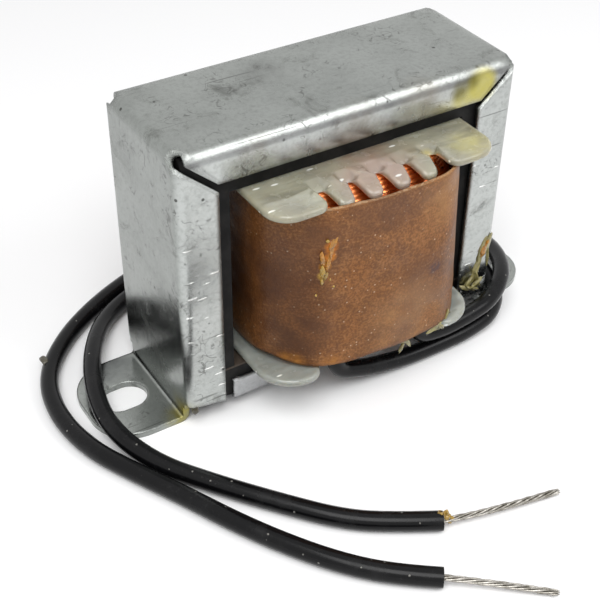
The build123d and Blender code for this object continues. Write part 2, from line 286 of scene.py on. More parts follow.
@dataclass(frozen=True)
class ZincPlate:
    """Satin zinc plate on steel sheet, with smudges, pits, hair scratches and chromate stains, and painted
    reflection: lighter on the top bend and the front lips, and a dark line under the bend.

    Attributes:
        name: Name of the material.
        colour: Colour of the plate.
        lit_front_colour: Colour of the front lips and the top bend, painted lighter to stand in for their
            brighter reflection.
        roughness: Its roughness in the mean.
        dulled: Share of the colour that is left in dull clouds.
        bend: Where along Y the lighter front colour, a painted reflection, begins and is full.
        front: Where along Y the marks on the front lips' outer faces begin and are full.
        nicked: Heights at which nicks in the front edges begin and are all there.
        painted_fold_line: Heights of the painted dark reflection line under the top bend.
        fold_soft: How far that line fades within those heights.
        soft_edge: Radius over which edges catch the light.
        foot_edge: The same at the feet.
        foot_rise: Heights between which the one goes over to the other.
        top_roll: What the top bend has beyond that radius.
        roll_rise: Heights between which that is added.
        stains: Patches on it.
    """

    name: str
    colour: Colour = (0.33, 0.347, 0.33)
    lit_front_colour: Colour = (0.495, 0.515, 0.5)
    roughness: float = 0.21
    dulled: float = 0.86
    bend: Span = (-8.3, -9.3)
    front: Span = (-9.1, -9.3)
    nicked: Span = (33.0, 26.0)
    painted_fold_line: Span = (39.5, 40.8)
    fold_soft: float = 0.5
    soft_edge: float = 1.05
    foot_edge: float = 0.45
    foot_rise: Span = (1.5, 5.0)
    top_roll: float = 0.65
    roll_rise: Span = (37.0, 40.0)
    stains: tuple[Stain, ...] = ()

    @staticmethod
    def scratches(graph: Graph) -> Socket:
        """Hair scratches in three directions, and short curled ones."""
        curl = graph.noise(2.4, 2.0, 0.5, bend=1.2)
        patchy = graph.band(graph.noise(5.0, 5.0, 0.7), 0.53, 0.6)
        marks = [graph.join("MULTIPLY", graph.ridge(curl, 0.474, 0.526, 0.018), patchy)]
        hairs = ((18.0, (0.55, 26.0, 9.0)), (-34.0, (0.4, 9.0, 24.0)), (74.0, (0.5, 30.0, 11.0)))
        for turn, stretch in hairs:
            streak = graph.noise(9.0, 1.5, 0.4, graph.mapped(stretch, (turn, turn * 0.6, turn)), 0.25)
            marks.append(graph.band(streak, 0.735, 0.775))
        return graph.join("MAXIMUM", *marks)

    def plate(self, graph: Graph, cloud: Socket) -> Socket:
        """Clouded colour of the clean plate, painted lighter on the top bend and the front lips for their
        brighter reflection.
        """
        # Painted reflection: the top bend and the front lips get a lighter colour than the top.
        bend = graph.span("Y", self.bend)
        bright = graph.mix(bend, self.colour, self.lit_front_colour)
        dull = graph.mix(bend, scaled(self.colour, self.dulled), scaled(self.lit_front_colour, self.dulled))
        return graph.mix(graph.band(cloud, 0.35, 0.7), bright, dull)

    def material(self) -> bpy.types.Material:
        """Builds the material."""
        graph = Graph(self.name)
        cloud = graph.noise(9.0, 4.0, 0.6)
        fleck = graph.noise(0.6, 4.0, 0.75)
        smudge = graph.band(graph.noise(4.5, 6.0, 0.72, bend=0.6), 0.54, 0.74)
        pits = graph.band(graph.cells(3.6), 0.075, 0.045)
        scratch = self.scratches(graph)
        front = graph.span("Y", self.front)
        cuts = graph.cells(1.1, graph.mapped((0.24, 0.3, 1.5), (0.0, 8.0, 0.0)))
        nicks = graph.join("MULTIPLY", graph.band(cuts, 0.2, 0.13), front, graph.span("Z", self.nicked))
        # Painted reflection: a dark line along the front just under the top bend.
        painted_fold_line = graph.ridge(graph.along("Z"), self.painted_fold_line[0] * MM, self.painted_fold_line[1] * MM, self.fold_soft * MM)
        painted_fold_line = graph.join("MULTIPLY", painted_fold_line, front, graph.band(cloud, 0.3, 0.6, 0.4, 0.75))
        colour = self.plate(graph, cloud)
        colour = graph.mix(graph.band(fleck, 0.44, 0.66, 0.0, 0.26), colour, (0.155, 0.16, 0.15))
        colour = graph.over(colour, smudge, 0.65, (0.105, 0.107, 0.098))
        colour = graph.over(colour, pits, 0.8, (0.03, 0.029, 0.025))
        colour = graph.over(colour, scratch, 0.6, (0.08, 0.08, 0.075))
        colour = graph.over(colour, nicks, 0.8, (0.95, 0.95, 0.93))
        # Lays the painted dark reflection line over the colour.
        colour = graph.mix(painted_fold_line, colour, (0.13, 0.13, 0.133))
        shine = graph.band(cloud, 0.3, 0.7, self.roughness - 0.05, self.roughness + 0.07)
        shine = graph.join("ADD", shine, graph.join("MULTIPLY", smudge, 0.18))
        graph.set(Base_Color=stained(graph, colour, self.stains), Roughness=shine, Metallic=1.0)
        edge = graph.span("Z", self.foot_rise, self.foot_edge * MM, self.soft_edge * MM)
        graph.soften(graph.join("ADD", edge, graph.span("Z", self.roll_rise, 0.0, self.top_roll * MM)))
        graph.bump(graph.noise(0.22, 2.0, 0.6), 0.012, 0.4)
        graph.bump(nicks, 0.08, 0.8)
        graph.bump(scratch, 0.01, 0.5)
        return graph.material


@dataclass(frozen=True)
class LaminationSteel:
    """Dark oxide on stacked silicon steel under a thin varnish."""

    name: str = "lamination_steel"

    def material(self) -> bpy.types.Material:
        """Builds the material."""
        graph = Graph(self.name)
        film = graph.band(graph.noise(3.0, 5.0, 0.65), 0.35, 0.7)
        rust = graph.band(graph.noise(1.4, 4.0, 0.7), 0.62, 0.8)
        colour = graph.mix(film, (0.004, 0.004, 0.004), (0.009, 0.0085, 0.008))
        colour = graph.over(colour, rust, 0.35, (0.075, 0.045, 0.025))
        graph.set(Base_Color=colour, Specular_IOR_Level=0.18, Roughness=graph.band(film, 0.0, 1.0, 0.6, 0.45))
        graph.bump(graph.noise(0.4, 3.0), 0.015, 0.5)
        return graph.material


@dataclass(frozen=True)
class MilkyNylon:
    """Unfilled nylon: milky, with a soft glow inside and a dull gloss, and painted highlight streaks and
    glints.

    Attributes:
        name: Name of the material.
        warmed: Heights between which its tint turns from cool to warm.
        stains: Patches on it.
    """

    name: str = "natural_nylon"
    warmed: Span = (10.0, 30.0)
    stains: tuple[Stain, ...] = ()

    def material(self) -> bpy.types.Material:
        """Builds the material."""
        graph = Graph(self.name)
        cloud = graph.band(graph.noise(5.0, 3.0, 0.5), 0.3, 0.7)
        warm = graph.span("Z", self.warmed)
        milk = graph.mix(warm, (0.34, 0.36, 0.325), (0.365, 0.355, 0.265))
        colour = graph.mix(cloud, milk, graph.mix(warm, (0.27, 0.285, 0.26), (0.27, 0.26, 0.2)))
        # Painted highlights: thin light streaks along swirls.
        swirl = graph.noise(5.0, 1.0, 0.4, bend=1.6)
        patchy = graph.band(graph.noise(2.5, 2.0), 0.54, 0.64)
        painted_streaks = graph.join("MULTIPLY", graph.ridge(swirl, 0.478, 0.508, 0.014), patchy)
        colour = stained(graph, graph.over(colour, painted_streaks, 0.15, (0.75, 0.75, 0.68)), self.stains)
        # Painted highlights: small light glints.
        painted_glint = graph.band(graph.cells(2.0, graph.mapped((0.45, 1.3, 1.3), (0.0, 0.0, 25.0))), 0.14, 0.08)
        colour = graph.over(colour, painted_glint, 0.8, (0.95, 0.95, 0.88))
        graph.set(Base_Color=colour, Roughness=graph.band(graph.noise(2.0), 0.3, 0.7, 0.16, 0.3), IOR=1.53,
                  Subsurface_Weight=0.7, Subsurface_Radius=(1.0, 0.85, 0.65), Subsurface_Scale=0.0025,
                  Coat_Weight=0.5, Coat_Roughness=0.06)
        graph.bump(graph.noise(2.8, 1.5, 0.4, graph.mapped((0.55, 1.7, 1.0), (0.0, 0.0, 12.0))), 0.4, 0.9)
        graph.bump(graph.noise(0.35, 2.0), 0.008, 0.4)
        return graph.material


@dataclass(frozen=True)
class EnamelledCopper:
    """Copper wire under a clear amber enamel.

    Attributes:
        name: Name of the material.
        painted_shade: Heights between which painted shade darkens it down into the winding.
    """

    name: str = "enamelled_copper"
    painted_shade: Span = (32.2, 31.0)

    def material(self) -> bpy.types.Material:
        """Builds the material."""
        graph = Graph(self.name)
        cloud = graph.band(graph.noise(2.2, 3.0), 0.35, 0.7)
        colour = graph.mix(cloud, (0.95, 0.4, 0.15), (0.75, 0.25, 0.08))
        # Painted shade: the copper turns dark red low in the winding.
        colour = graph.over(colour, graph.span("Z", self.painted_shade), 0.9, (0.42, 0.12, 0.045))
        graph.set(Base_Color=colour, Metallic=1.0, Roughness=graph.band(cloud, 0.0, 1.0, 0.24, 0.36),
                  Coat_Weight=0.5, Coat_Roughness=0.12, Coat_Tint=(1.0, 0.62, 0.36))
        return graph.material


@dataclass(frozen=True)
class KraftPaper:
    """Brown kraft paper, soaked with varnish in blotches, with fine fibres and a few painted glints.

    Attributes:
        name: Name of the material.
        edge: Heights between which its frayed upper edge begins.
        stains: Patches on it.
    """

    name: str = "kraft_paper"
    edge: Span = (32.7, 33.05)
    stains: tuple[Stain, ...] = ()

    def material(self) -> bpy.types.Material:
        """Builds the material."""
        graph = Graph(self.name)
        blotch = graph.band(graph.noise(7.5, 5.0, 0.62, bend=0.5), 0.38, 0.68)
        cloud = graph.band(graph.noise(3.2, 4.0, 0.6), 0.35, 0.68)
        fibre = graph.noise(1.5, 4.0, 0.65, graph.mapped((0.35, 0.35, 5.0)))
        fleck = graph.band(graph.cells(1.1), 0.13, 0.07)
        mottle = graph.noise(2.6, 4.0, 0.65)
        speck = graph.noise(0.32, 2.0, 0.6)
        colour = graph.mix(blotch, (0.265, 0.102, 0.026), (0.13, 0.044, 0.011))
        colour = graph.over(colour, cloud, 0.5, (0.33, 0.142, 0.044))
        colour = graph.mix(graph.band(fibre, 0.52, 0.72, 0.0, 0.35), colour, (0.42, 0.21, 0.075))
        colour = graph.mix(graph.band(mottle, 0.46, 0.66, 0.0, 0.45), colour, (0.13, 0.05, 0.014))
        colour = graph.mix(graph.band(speck, 0.45, 0.6, 0.0, 0.55), colour, (0.09, 0.034, 0.01))
        colour = graph.mix(graph.band(speck, 0.42, 0.32, 0.0, 0.22), colour, (0.48, 0.27, 0.13))
        # Painted highlights: small light flecks for glints.
        colour = graph.over(colour, fleck, 0.55, (0.75, 0.58, 0.4))
        frayed = graph.join("MULTIPLY", graph.span("Z", self.edge), graph.band(speck, 0.35, 0.6))
        colour = graph.over(colour, frayed, 0.7, (0.55, 0.36, 0.2))
        soak = graph.band(blotch, 0.0, 1.0, 0.56, 0.38)
        shine = graph.join("SUBTRACT", soak, graph.join("MULTIPLY", fleck, 0.2))
        graph.set(Base_Color=stained(graph, colour, self.stains), Roughness=shine, IOR=1.36,
                  Coat_Weight=0.06, Coat_Roughness=0.3)
        graph.bump(graph.noise(0.3, 3.0, 0.7), 0.05, 0.6)
        graph.bump(speck, 0.08, 0.6)
        return graph.material


@dataclass(frozen=True)
class LeadInsulation:
    """Satin black insulation with dust and long dull scuffs."""

    name: str = "lead_insulation"

    def material(self) -> bpy.types.Material:
        """Builds the material."""
        graph = Graph(self.name)
        scuff = graph.band(graph.noise(4.0, 5.0, 0.65), 0.45, 0.75)
        dust = graph.band(graph.cells(1.7), 0.1, 0.05)
        haze = graph.band(graph.noise(0.5, 3.0, 0.7), 0.6, 0.8)
        colour = graph.mix(scuff, (0.0035, 0.0035, 0.004), (0.009, 0.009, 0.0095))
        colour = graph.over(colour, haze, 0.1, (0.13, 0.125, 0.12))
        colour = graph.over(colour, dust, 0.55, (0.34, 0.33, 0.3))
        graph.set(Base_Color=colour, Roughness=graph.band(scuff, 0.0, 1.0, 0.22, 0.38), IOR=1.29)
        graph.bump(graph.noise(1.2, 3.0), 0.03, 0.4)
        graph.bump(dust, 0.04, 0.6)
        return graph.material


@dataclass(frozen=True)
class TinnedWire:
    """Tinned copper strands, dulled by handling."""

    name: str = "tinned_copper"

    def material(self) -> bpy.types.Material:
        """Builds the material."""
        graph = Graph(self.name)
        dull = graph.band(graph.noise(1.6, 4.0, 0.65), 0.35, 0.7)
        colour = graph.mix(dull, (0.44, 0.42, 0.385), (0.15, 0.138, 0.112))
        graph.set(Base_Color=colour, Metallic=1.0, Roughness=graph.band(dull, 0.0, 1.0, 0.2, 0.36))
        graph.bump(graph.noise(0.3), 0.01, 0.4)
        return graph.material


@dataclass(frozen=True)
class Varnish:
    """Set varnish or resin: clear and glossy in drops, cloudy in crumbs.

    Attributes:
        name: Name of the material and of the piece that it is made for.
        colour: Its colour.
        clear: Share of light that it lets through.
        roughness: Its roughness.
        deepened: Share of the colour that is left in its deep clouds.
    """

    name: str
    colour: Colour
    clear: float
    roughness: float
    deepened: float = 0.6

    def material(self) -> bpy.types.Material:
        """Builds the material."""
        graph = Graph(self.name)
        cloud = graph.band(graph.noise(0.9, 4.0, 0.6), 0.35, 0.7)
        deep = scaled(self.colour, self.deepened)
        graph.set(Base_Color=graph.mix(cloud, self.colour, deep), Roughness=self.roughness, IOR=1.52,
                  Transmission_Weight=self.clear, Coat_Weight=0.5, Coat_Roughness=0.08)
        graph.bump(graph.noise(0.5, 3.0, 0.7), 0.2, 0.8)
        return graph.material


@dataclass(frozen=True)
class Paperboard:
    """Plain tan insulating paper.

    Attributes:
        name: Name of the material.
        colour: Its colour.
        lighter: How many times lighter its light fibres are.
    """

    name: str
    colour: Colour
    lighter: float = 1.35

    def material(self) -> bpy.types.Material:
        """Builds the material."""
        graph = Graph(self.name)
        grain = graph.noise(0.3, 4.0, 0.7)
        light = scaled(self.colour, self.lighter)
        graph.set(Base_Color=graph.mix(graph.band(grain, 0.35, 0.7), self.colour, light), Roughness=0.7)
        graph.bump(grain, 0.02, 0.5)
        return graph.material


def ripple(across: np.ndarray, along: np.ndarray, seed: int, reach: float, waves: int = 9) -> np.ndarray:
    """Smooth unevenness of about -1 to 1: a sum of plane waves with seeded directions and phases.

    Args:
        across: First coordinate in millimetres.
        along: Second coordinate in millimetres.
        seed: Seed of the draw.
        reach: Shortest wave's radians per millimetre.
        waves: Number of waves.

    Returns:
        The height at each point.
    """
    draw = np.random.default_rng(seed)
    first, second = draw.uniform(-reach, reach, (2, waves))
    phase = draw.uniform(0.0, 2.0 * np.pi, waves)
    swing = across[..., None] * first + along[..., None] * second + phase
    return np.sin(swing).sum(-1) / math.sqrt(waves) * WAVE_HEIGHT


def unit(vectors: np.ndarray) -> np.ndarray:
    """The vectors at length one."""
    return vectors / np.linalg.norm(vectors, axis=-1, keepdims=True)


def walked_length(points: np.ndarray) -> np.ndarray:
    """Length along a line of points, up to each of them."""
    return np.concatenate([[0.0], np.linalg.norm(np.diff(points, axis=0), axis=1).cumsum()])


def grid_faces(rows: int, columns: int, closed: bool = False) -> np.ndarray:
    """Quads of a grid of points, four indices to a row, whose rows may close on themselves."""
    index = np.arange(rows * columns).reshape(rows, columns)
    if closed:
        index = np.hstack([index, index[:, :1]])
    return np.stack([index[:-1, :-1], index[:-1, 1:], index[1:, 1:], index[1:, :-1]], -1).reshape(-1, 4)


def new_mesh(name: str, points: np.ndarray, faces: list[list[int]], smooth: bool = True) -> bpy.types.Mesh:
    """Mesh from points in millimetres.

    Args:
        name: Name of the mesh.
        points: Points as rows of three.
        faces: Vertex indices of each face.
        smooth: Whether the faces shade smoothly.

    Returns:
        The mesh, in metres.
    """
    mesh = bpy.data.meshes.new(name)
    mesh.from_pydata((points.reshape(-1, 3) * MM).tolist(), [], faces)
    mesh.polygons.foreach_set("use_smooth", np.full(len(mesh.polygons), smooth))
    mesh.validate()
    mesh.update()
    return mesh


def add_piece(data: bpy.types.ID, material: bpy.types.Material, slot: Slot, *nodes: str) -> bpy.types.Object:
    """Makes a piece of a mesh or curve at the origin, dresses it and lets it ride.

    Args:
        data: The mesh or curve, whose name the piece takes.
        material: Its finish.
        slot: The record's slot that the finish belongs to.
        nodes: Nodes that it stands for.

    Returns:
        The piece.
    """
    piece = bpy.data.objects.new(data.name, data)
    bpy.context.scene.collection.objects.link(piece)
    data.materials.append(material)
    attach(piece, BODY)
    if nodes:
        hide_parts(*nodes)
    LOG.info("piece %s in %s", piece.name, slot.value)
    return piece


def dress_node(node: str, material: bpy.types.Material) -> None:
    """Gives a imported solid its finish."""
    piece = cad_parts[node]
    piece.data.materials.clear()
    piece.data.materials.append(material)
    LOG.info("node %s in %s", node, material.name)


def ring_path(half: Span, corner: float, share: np.ndarray) -> tuple[np.ndarray, np.ndarray]:
    """Points and outward normals on a rounded rectangle, at shares of its length from the middle of its back.

    The outline is four quarter circles joined by straight runs, walked by its own length.

    Args:
        half: Half sizes along X and Y.
        corner: Radius of the corners.
        share: Shares of the whole length, and past 1 for a second turn.

    Returns:
        Points and normals, two numbers each.
    """
    angle = np.linspace(0.0, np.pi / 2.0, CORNER_POINTS)
    starts = np.array([0.5, 1.0, 1.5, 0.0]) * np.pi
    turned = (starts[:, None] + angle).ravel()
    signs = np.array([(-1, 1), (-1, -1), (1, -1), (1, 1)]).repeat(len(angle), 0)
    normals = np.stack([np.cos(turned), np.sin(turned)], -1)
    points = signs * (np.array(half) - corner) + normals * corner
    points = np.vstack([[0.0, half[1]], points, [0.0, half[1]]])
    normals = np.vstack([[0.0, 1.0], normals, [0.0, 1.0]])
    length = walked_length(points)
    walked = np.mod(share, 1.0) * length[-1]
    at = np.stack([np.interp(walked, length, points[:, axis]) for axis in (0, 1)], -1)
    out = np.stack([np.interp(walked, length, normals[:, axis]) for axis in (0, 1)], -1)
    return at, unit(out)


@dataclass
class Studio:
    """Camera, lamps, pale floor and the light all round.

    Attributes:
        camera_at: Place of the camera in millimetres.
        camera_turn: Its turn in degrees about X, Y and Z.
        lens: Focal length in millimetres.
        sensor: Width of the sensor in millimetres.
        clip: Nearest and farthest that it sees, in metres.
        floor_half: Half the floor's side in millimetres.
        lit_floor: Where the floor has gone over from lit to plain white, in millimetres from the middle.
        lit_edge: Share of that distance over which it goes over.
        bounce: Colour of the floor for the light that it throws back on the part.
        sky: Light all round, as heights from 0 at the horizon to 1 overhead with their levels.
        sky_blue: How many times bluer that light is than grey.
        lit_point: The point that the lamps face.
    """

    camera_at: Point = (-73.994, -112.383, 111.661)
    camera_turn: Point = (51.6488, -0.7259, -32.0913)
    lens: float = 71.323
    sensor: float = 36.0
    clip: Span = (0.01, 10.0)
    floor_half: float = 1500.0
    lit_floor: float = 280.0
    lit_edge: float = 0.6
    bounce: Colour = (0.72, 0.72, 0.73)
    sky: tuple[Span, ...] = ((0.0, 0.28), (0.2, 0.28), (0.45, 0.5), (0.65, 0.58), (1.0, 0.75))
    sky_blue: float = 1.01
    lit_point: Point = (0.0, 0.0, 15.0)

    def camera(self) -> None:
        """Sets the camera at the photograph's angle."""
        data = bpy.data.cameras.new("camera")
        data.lens = self.lens
        data.sensor_width = self.sensor
        data.clip_start, data.clip_end = self.clip
        camera = bpy.data.objects.new("camera", data)
        camera.location = Vector(self.camera_at) * MM
        camera.rotation_euler = Euler([math.radians(angle) for angle in self.camera_turn])
        bpy.context.scene.collection.objects.link(camera)
        bpy.context.scene.camera = camera

    def lamp(self, name: str, place: Point, size: float, power: float) -> None:
        """Adds a square soft box.

        Args:
            name: Name of the lamp.
            place: Its middle in millimetres.
            size: Its side in millimetres.
            power: Its power in watts.
        """
        data = bpy.data.lights.new(name, "AREA")
        data.size = size * MM
        data.energy = power
        lamp = bpy.data.objects.new(name, data)
        lamp.location = Vector(place) * MM
        lamp.rotation_euler = (Vector(self.lit_point) - Vector(place)).to_track_quat("-Z", "Y").to_euler()
        bpy.context.scene.collection.objects.link(lamp)

    @staticmethod
    def shown(tree: bpy.types.NodeTree) -> Socket:
        """Gives 1 on rays that show the background: the camera's, off gloss and through clear pieces."""
        rays = tree.nodes.new("ShaderNodeLightPath").outputs
        shown = rays["Is Camera Ray"]
        for kind in ("Is Glossy Ray", "Is Transmission Ray"):
            either = tree.nodes.new("ShaderNodeMath")
            either.operation = "MAXIMUM"
            tree.links.new(shown, either.inputs[0])
            tree.links.new(rays[kind], either.inputs[1])
            shown = either.outputs["Value"]
        return shown

    def floor(self) -> None:
        """Lays a pale floor that takes the part's shadow and is plain white farther out."""
        half = self.floor_half
        corners = np.array([(-half, -half, 0.0), (half, -half, 0.0), (half, half, 0.0), (-half, half, 0.0)])
        mesh = new_mesh("floor", corners, [[0, 1, 2, 3]], False)
        graph = Graph("floor")
        shown = self.shown(graph.tree)
        far = graph.join("SUBTRACT", 1.0, graph.spot((0.0, 0.0, 0.0), self.lit_floor, self.lit_edge))
        pale = graph.mix(far, WHITE, BLACK)
        graph.set(Base_Color=graph.mix(shown, self.bounce, pale), Roughness=0.9, Specular_IOR_Level=0.0,
                  Emission_Color=(*WHITE, 1.0), Emission_Strength=graph.join("MULTIPLY", shown, far))
        mesh.materials.append(graph.material)
        floor = bpy.data.objects.new("floor", mesh)
        bpy.context.scene.collection.objects.link(floor)

    def world(self) -> None:
        """Lights all round, brighter towards the top, and is white where it is the background."""
        world = bpy.data.worlds.new("studio")
        bpy.context.scene.world = world
        world.use_nodes = True
        tree = world.node_tree
        tree.nodes.clear()
        output = tree.nodes.new("ShaderNodeOutputWorld")
        light = tree.nodes.new("ShaderNodeBackground")
        ramp = tree.nodes.new("ShaderNodeValToRGB")
        parts = tree.nodes.new("ShaderNodeSeparateXYZ")
        coords = tree.nodes.new("ShaderNodeTexCoord")
        stops = ramp.color_ramp.elements
        for index, (place, level) in enumerate(self.sky):
            stop = stops[index] if index < len(stops) else stops.new(place)
            stop.position = place
            stop.color = (level, level, level * self.sky_blue, 1.0)
        white = tree.nodes.new("ShaderNodeBackground")
        white.inputs["Color"].default_value = (*WHITE, 1.0)
        choice = tree.nodes.new("ShaderNodeMixShader")
        wires = (
            (coords.outputs["Generated"], parts.inputs[0]),
            (parts.outputs["Z"], ramp.inputs[0]),
            (ramp.outputs["Color"], light.inputs["Color"]),
            (self.shown(tree), choice.inputs["Fac"]),
            (light.outputs["Background"], choice.inputs[1]),
            (white.outputs["Background"], choice.inputs[2]),
            (choice.outputs["Shader"], output.inputs["Surface"]),
        )
        for source, target in wires:
            tree.links.new(source, target)

    def build(self) -> None:
        """Sets up the camera, the floor and the light."""
        bpy.context.scene.view_settings.view_transform = "Standard"
        self.camera()
        self.floor()
        self.world()
        self.lamp("key", (-120.0, -160.0, 330.0), 240.0, 0.85)
        self.lamp("fill", (150.0, -220.0, 245.0), 160.0, 0.3)


@dataclass
class Lead:
    """One stranded lead: its insulation as a cord and its stripped end as twisted strands.

    Attributes:
        name: Name of the lead, which its nodes share.
        route: Control points of its smooth line.
        tip: End of the stripped strands.
        length: Length of the insulation; not used.
        diameter: Diameter of the insulation.
        strand_diameter: Diameter over the twisted strands.
        strand_share: Radius of one strand as a share of that diameter.
        lead_in: How far the strands run straight on before they turn to the tip.
        back_in: How far they reach back into the insulation.
        strands: Number of strands round the middle one.
        lay_length: Length of one turn of the twist.
        tip_length: Length over which the strands draw in to the tip.
        tip_least: Share of their section that is left at its end.
        tip_squeeze: Share by which they close up there.
        strand_sides: Points round a strand.
        line_steps: Steps of the insulation's line between two control points.
        strand_steps: The same for the strands.
    """

    name: str
    route: tuple[Point, ...]
    tip: Point
    length: float
    diameter: float = 2.5
    strand_diameter: float = 0.84
    strand_share: float = 0.18
    lead_in: float = 2.5
    back_in: float = 1.0
    strands: int = 5
    lay_length: float = 8.0
    tip_length: float = 0.7
    tip_least: float = 0.02
    tip_squeeze: float = 0.25
    strand_sides: int = 10
    line_steps: int = 12
    strand_steps: int = 60

    @staticmethod
    def line(name: str, points: list[Point], steps: int) -> bpy.types.Curve:
        """Smooth NURBS line with the given control points in millimetres, in steps between each two."""
        curve = bpy.data.curves.new(name, "CURVE")
        curve.dimensions = "3D"
        curve.resolution_u = steps
        spline = curve.splines.new("NURBS")
        spline.points.add(len(points) - 1)
        flat = np.hstack([np.array(points) * MM, np.ones((len(points), 1))])
        spline.points.foreach_set("co", flat.ravel())
        spline.order_u = 3
        spline.use_endpoint_u = True
        return curve

    def insulation(self, material: bpy.types.Material) -> bpy.types.Object:
        """Round insulation along the route."""
        curve = self.line(f"{self.name}_insulation", list(self.route), self.line_steps)
        curve.bevel_depth = self.diameter / 2.0 * MM
        curve.bevel_resolution = 6
        curve.use_fill_caps = True
        return add_piece(curve, material, Slot.INSULATION, self.name)

    def strand_line(self) -> np.ndarray:
        """Points along the middle of the stripped end: straight out of the insulation, then to the tip."""
        end = np.array(self.route[-1])
        leaving = unit(end - np.array(self.route[-2]))
        start = end - leaving * self.back_in
        knee = end + leaving * self.lead_in
        curve = self.line("guide", [tuple(start), tuple(knee), self.tip], self.strand_steps)
        guide = bpy.data.objects.new("guide", curve)
        read = bpy.data.meshes.new_from_object(guide)
        path = np.empty(len(read.vertices) * 3)
        read.vertices.foreach_get("co", path)
        bpy.data.meshes.remove(read)
        bpy.data.objects.remove(guide)
        return path.reshape(-1, 3) / MM

    def stripped_end(self, material: bpy.types.Material) -> bpy.types.Object:
        """Strands twisted round a middle one.

        Each strand's middle is a helix about the smooth line, one turn to the lay length, and its skin is a
        circle carried along that helix. The last points draw in to a rounded tip.
        """
        path = self.strand_line()
        tangent = unit(np.gradient(path, axis=0))
        side = unit(np.cross(tangent, (0.0, 0.0, 1.0)))
        rise = np.cross(side, tangent)
        walked = walked_length(path)
        draw_in = np.sqrt(np.clip((walked[-1] - walked) / self.tip_length, self.tip_least, 1.0))
        thin = self.strand_diameter * self.strand_share
        orbit = np.append(np.full(self.strands, self.strand_diameter / 2.0 - thin), 0.0)
        away = orbit[:, None] * (1.0 - self.tip_squeeze + self.tip_squeeze * draw_in)
        first = np.append(2.0 * np.pi * np.arange(self.strands) / self.strands, 0.0)
        angle = (first[:, None] + 2.0 * np.pi * walked / self.lay_length)[..., None]
        middle = path + away[..., None] * (np.cos(angle) * side + np.sin(angle) * rise)
        around = np.linspace(0.0, 2.0 * np.pi, self.strand_sides, endpoint=False)[:, None]
        skin = np.cos(around) * side[:, None] + np.sin(around) * rise[:, None]
        points = middle[:, :, None] + thin * draw_in[:, None, None] * skin
        count, rows, columns = points.shape[:3]
        starts = np.arange(count) * rows * columns
        sides = (grid_faces(rows, columns, closed=True) + starts[:, None, None]).reshape(-1, 4)
        ends = starts[:, None] + np.arange(columns)
        caps = ends[:, ::-1].tolist() + (ends + (rows - 1) * columns).tolist()
        mesh = new_mesh(f"{self.name}_twist", points, sides.tolist() + caps)
        mesh.flip_normals()
        return add_piece(mesh, material, Slot.STRANDS, self.name.replace("lead", "strands"))

    def build(self, black: bpy.types.Material, tinned: bpy.types.Material) -> None:
        cord = self.insulation(black)
        twist = self.stripped_end(tinned)


START_ROUTE = (
    (-5.375, -13.9, 9.5), (-5.375, -13.9, 4.9), (-1.2, -13.9, 3.2), (2.6, -13.9, 2.3), (7.0, -13.9, 1.6),
    (12.6, -13.8, 1.4), (18.2, -13.7, 1.5), (23.6, -12.7, 1.9), (27.4, -8.7, 2.6), (28.2, -2.2, 3.65),
    (28.1, 5.9, 3.5), (26.8, 13.8, 1.7), (21.4, 19.2, 1.3), (12.8, 21.6, 1.3), (2.6, 22.4, 1.3),
    (-7.8, 22.1, 1.3), (-17.4, 20.3, 1.3), (-25.2, 16.4, 1.6), (-30.4, 9.4, 2.8), (-33.8, 1.6, 2.9),
    (-35.0, -6.4, 2.7), (-32.3, -13.8, 1.4), (-27.6, -20.6, 1.3), (-22.6, -27.2, 1.3), (-17.0, -34.0, 1.3),
    (-12.0, -37.6, 1.3), (-6.8, -40.5, 1.3),
)
FINISH_ROUTE = (
    (8.025, -13.9, 9.5), (8.025, -13.9, 5.0), (12.6, -14.0, 4.2), (17.6, -13.7, 4.4), (22.6, -13.1, 5.0),
    (27.4, -9.9, 5.8), (30.8, -4.4, 5.1), (31.9, 1.8, 3.9), (32.4, 10.2, 2.2), (29.6, 17.8, 1.3),
    (22.6, 23.0, 1.3), (13.4, 25.2, 1.3), (3.4, 26.0, 1.3), (-7.0, 25.6, 1.3), (-16.2, 23.7, 1.3),
    (-24.6, 20.2, 1.3), (-32.2, 15.2, 1.3), (-37.8, 8.6, 1.3), (-39.4, 0.6, 1.3), (-38.2, -7.2, 1.3),
    (-35.0, -14.0, 1.3), (-31.6, -20.6, 1.3), (-28.4, -27.4, 1.3), (-24.8, -33.8, 1.3), (-20.8, -39.6, 1.3),
    (-16.4, -44.2, 1.3), (-12.0, -47.4, 1.3),
)


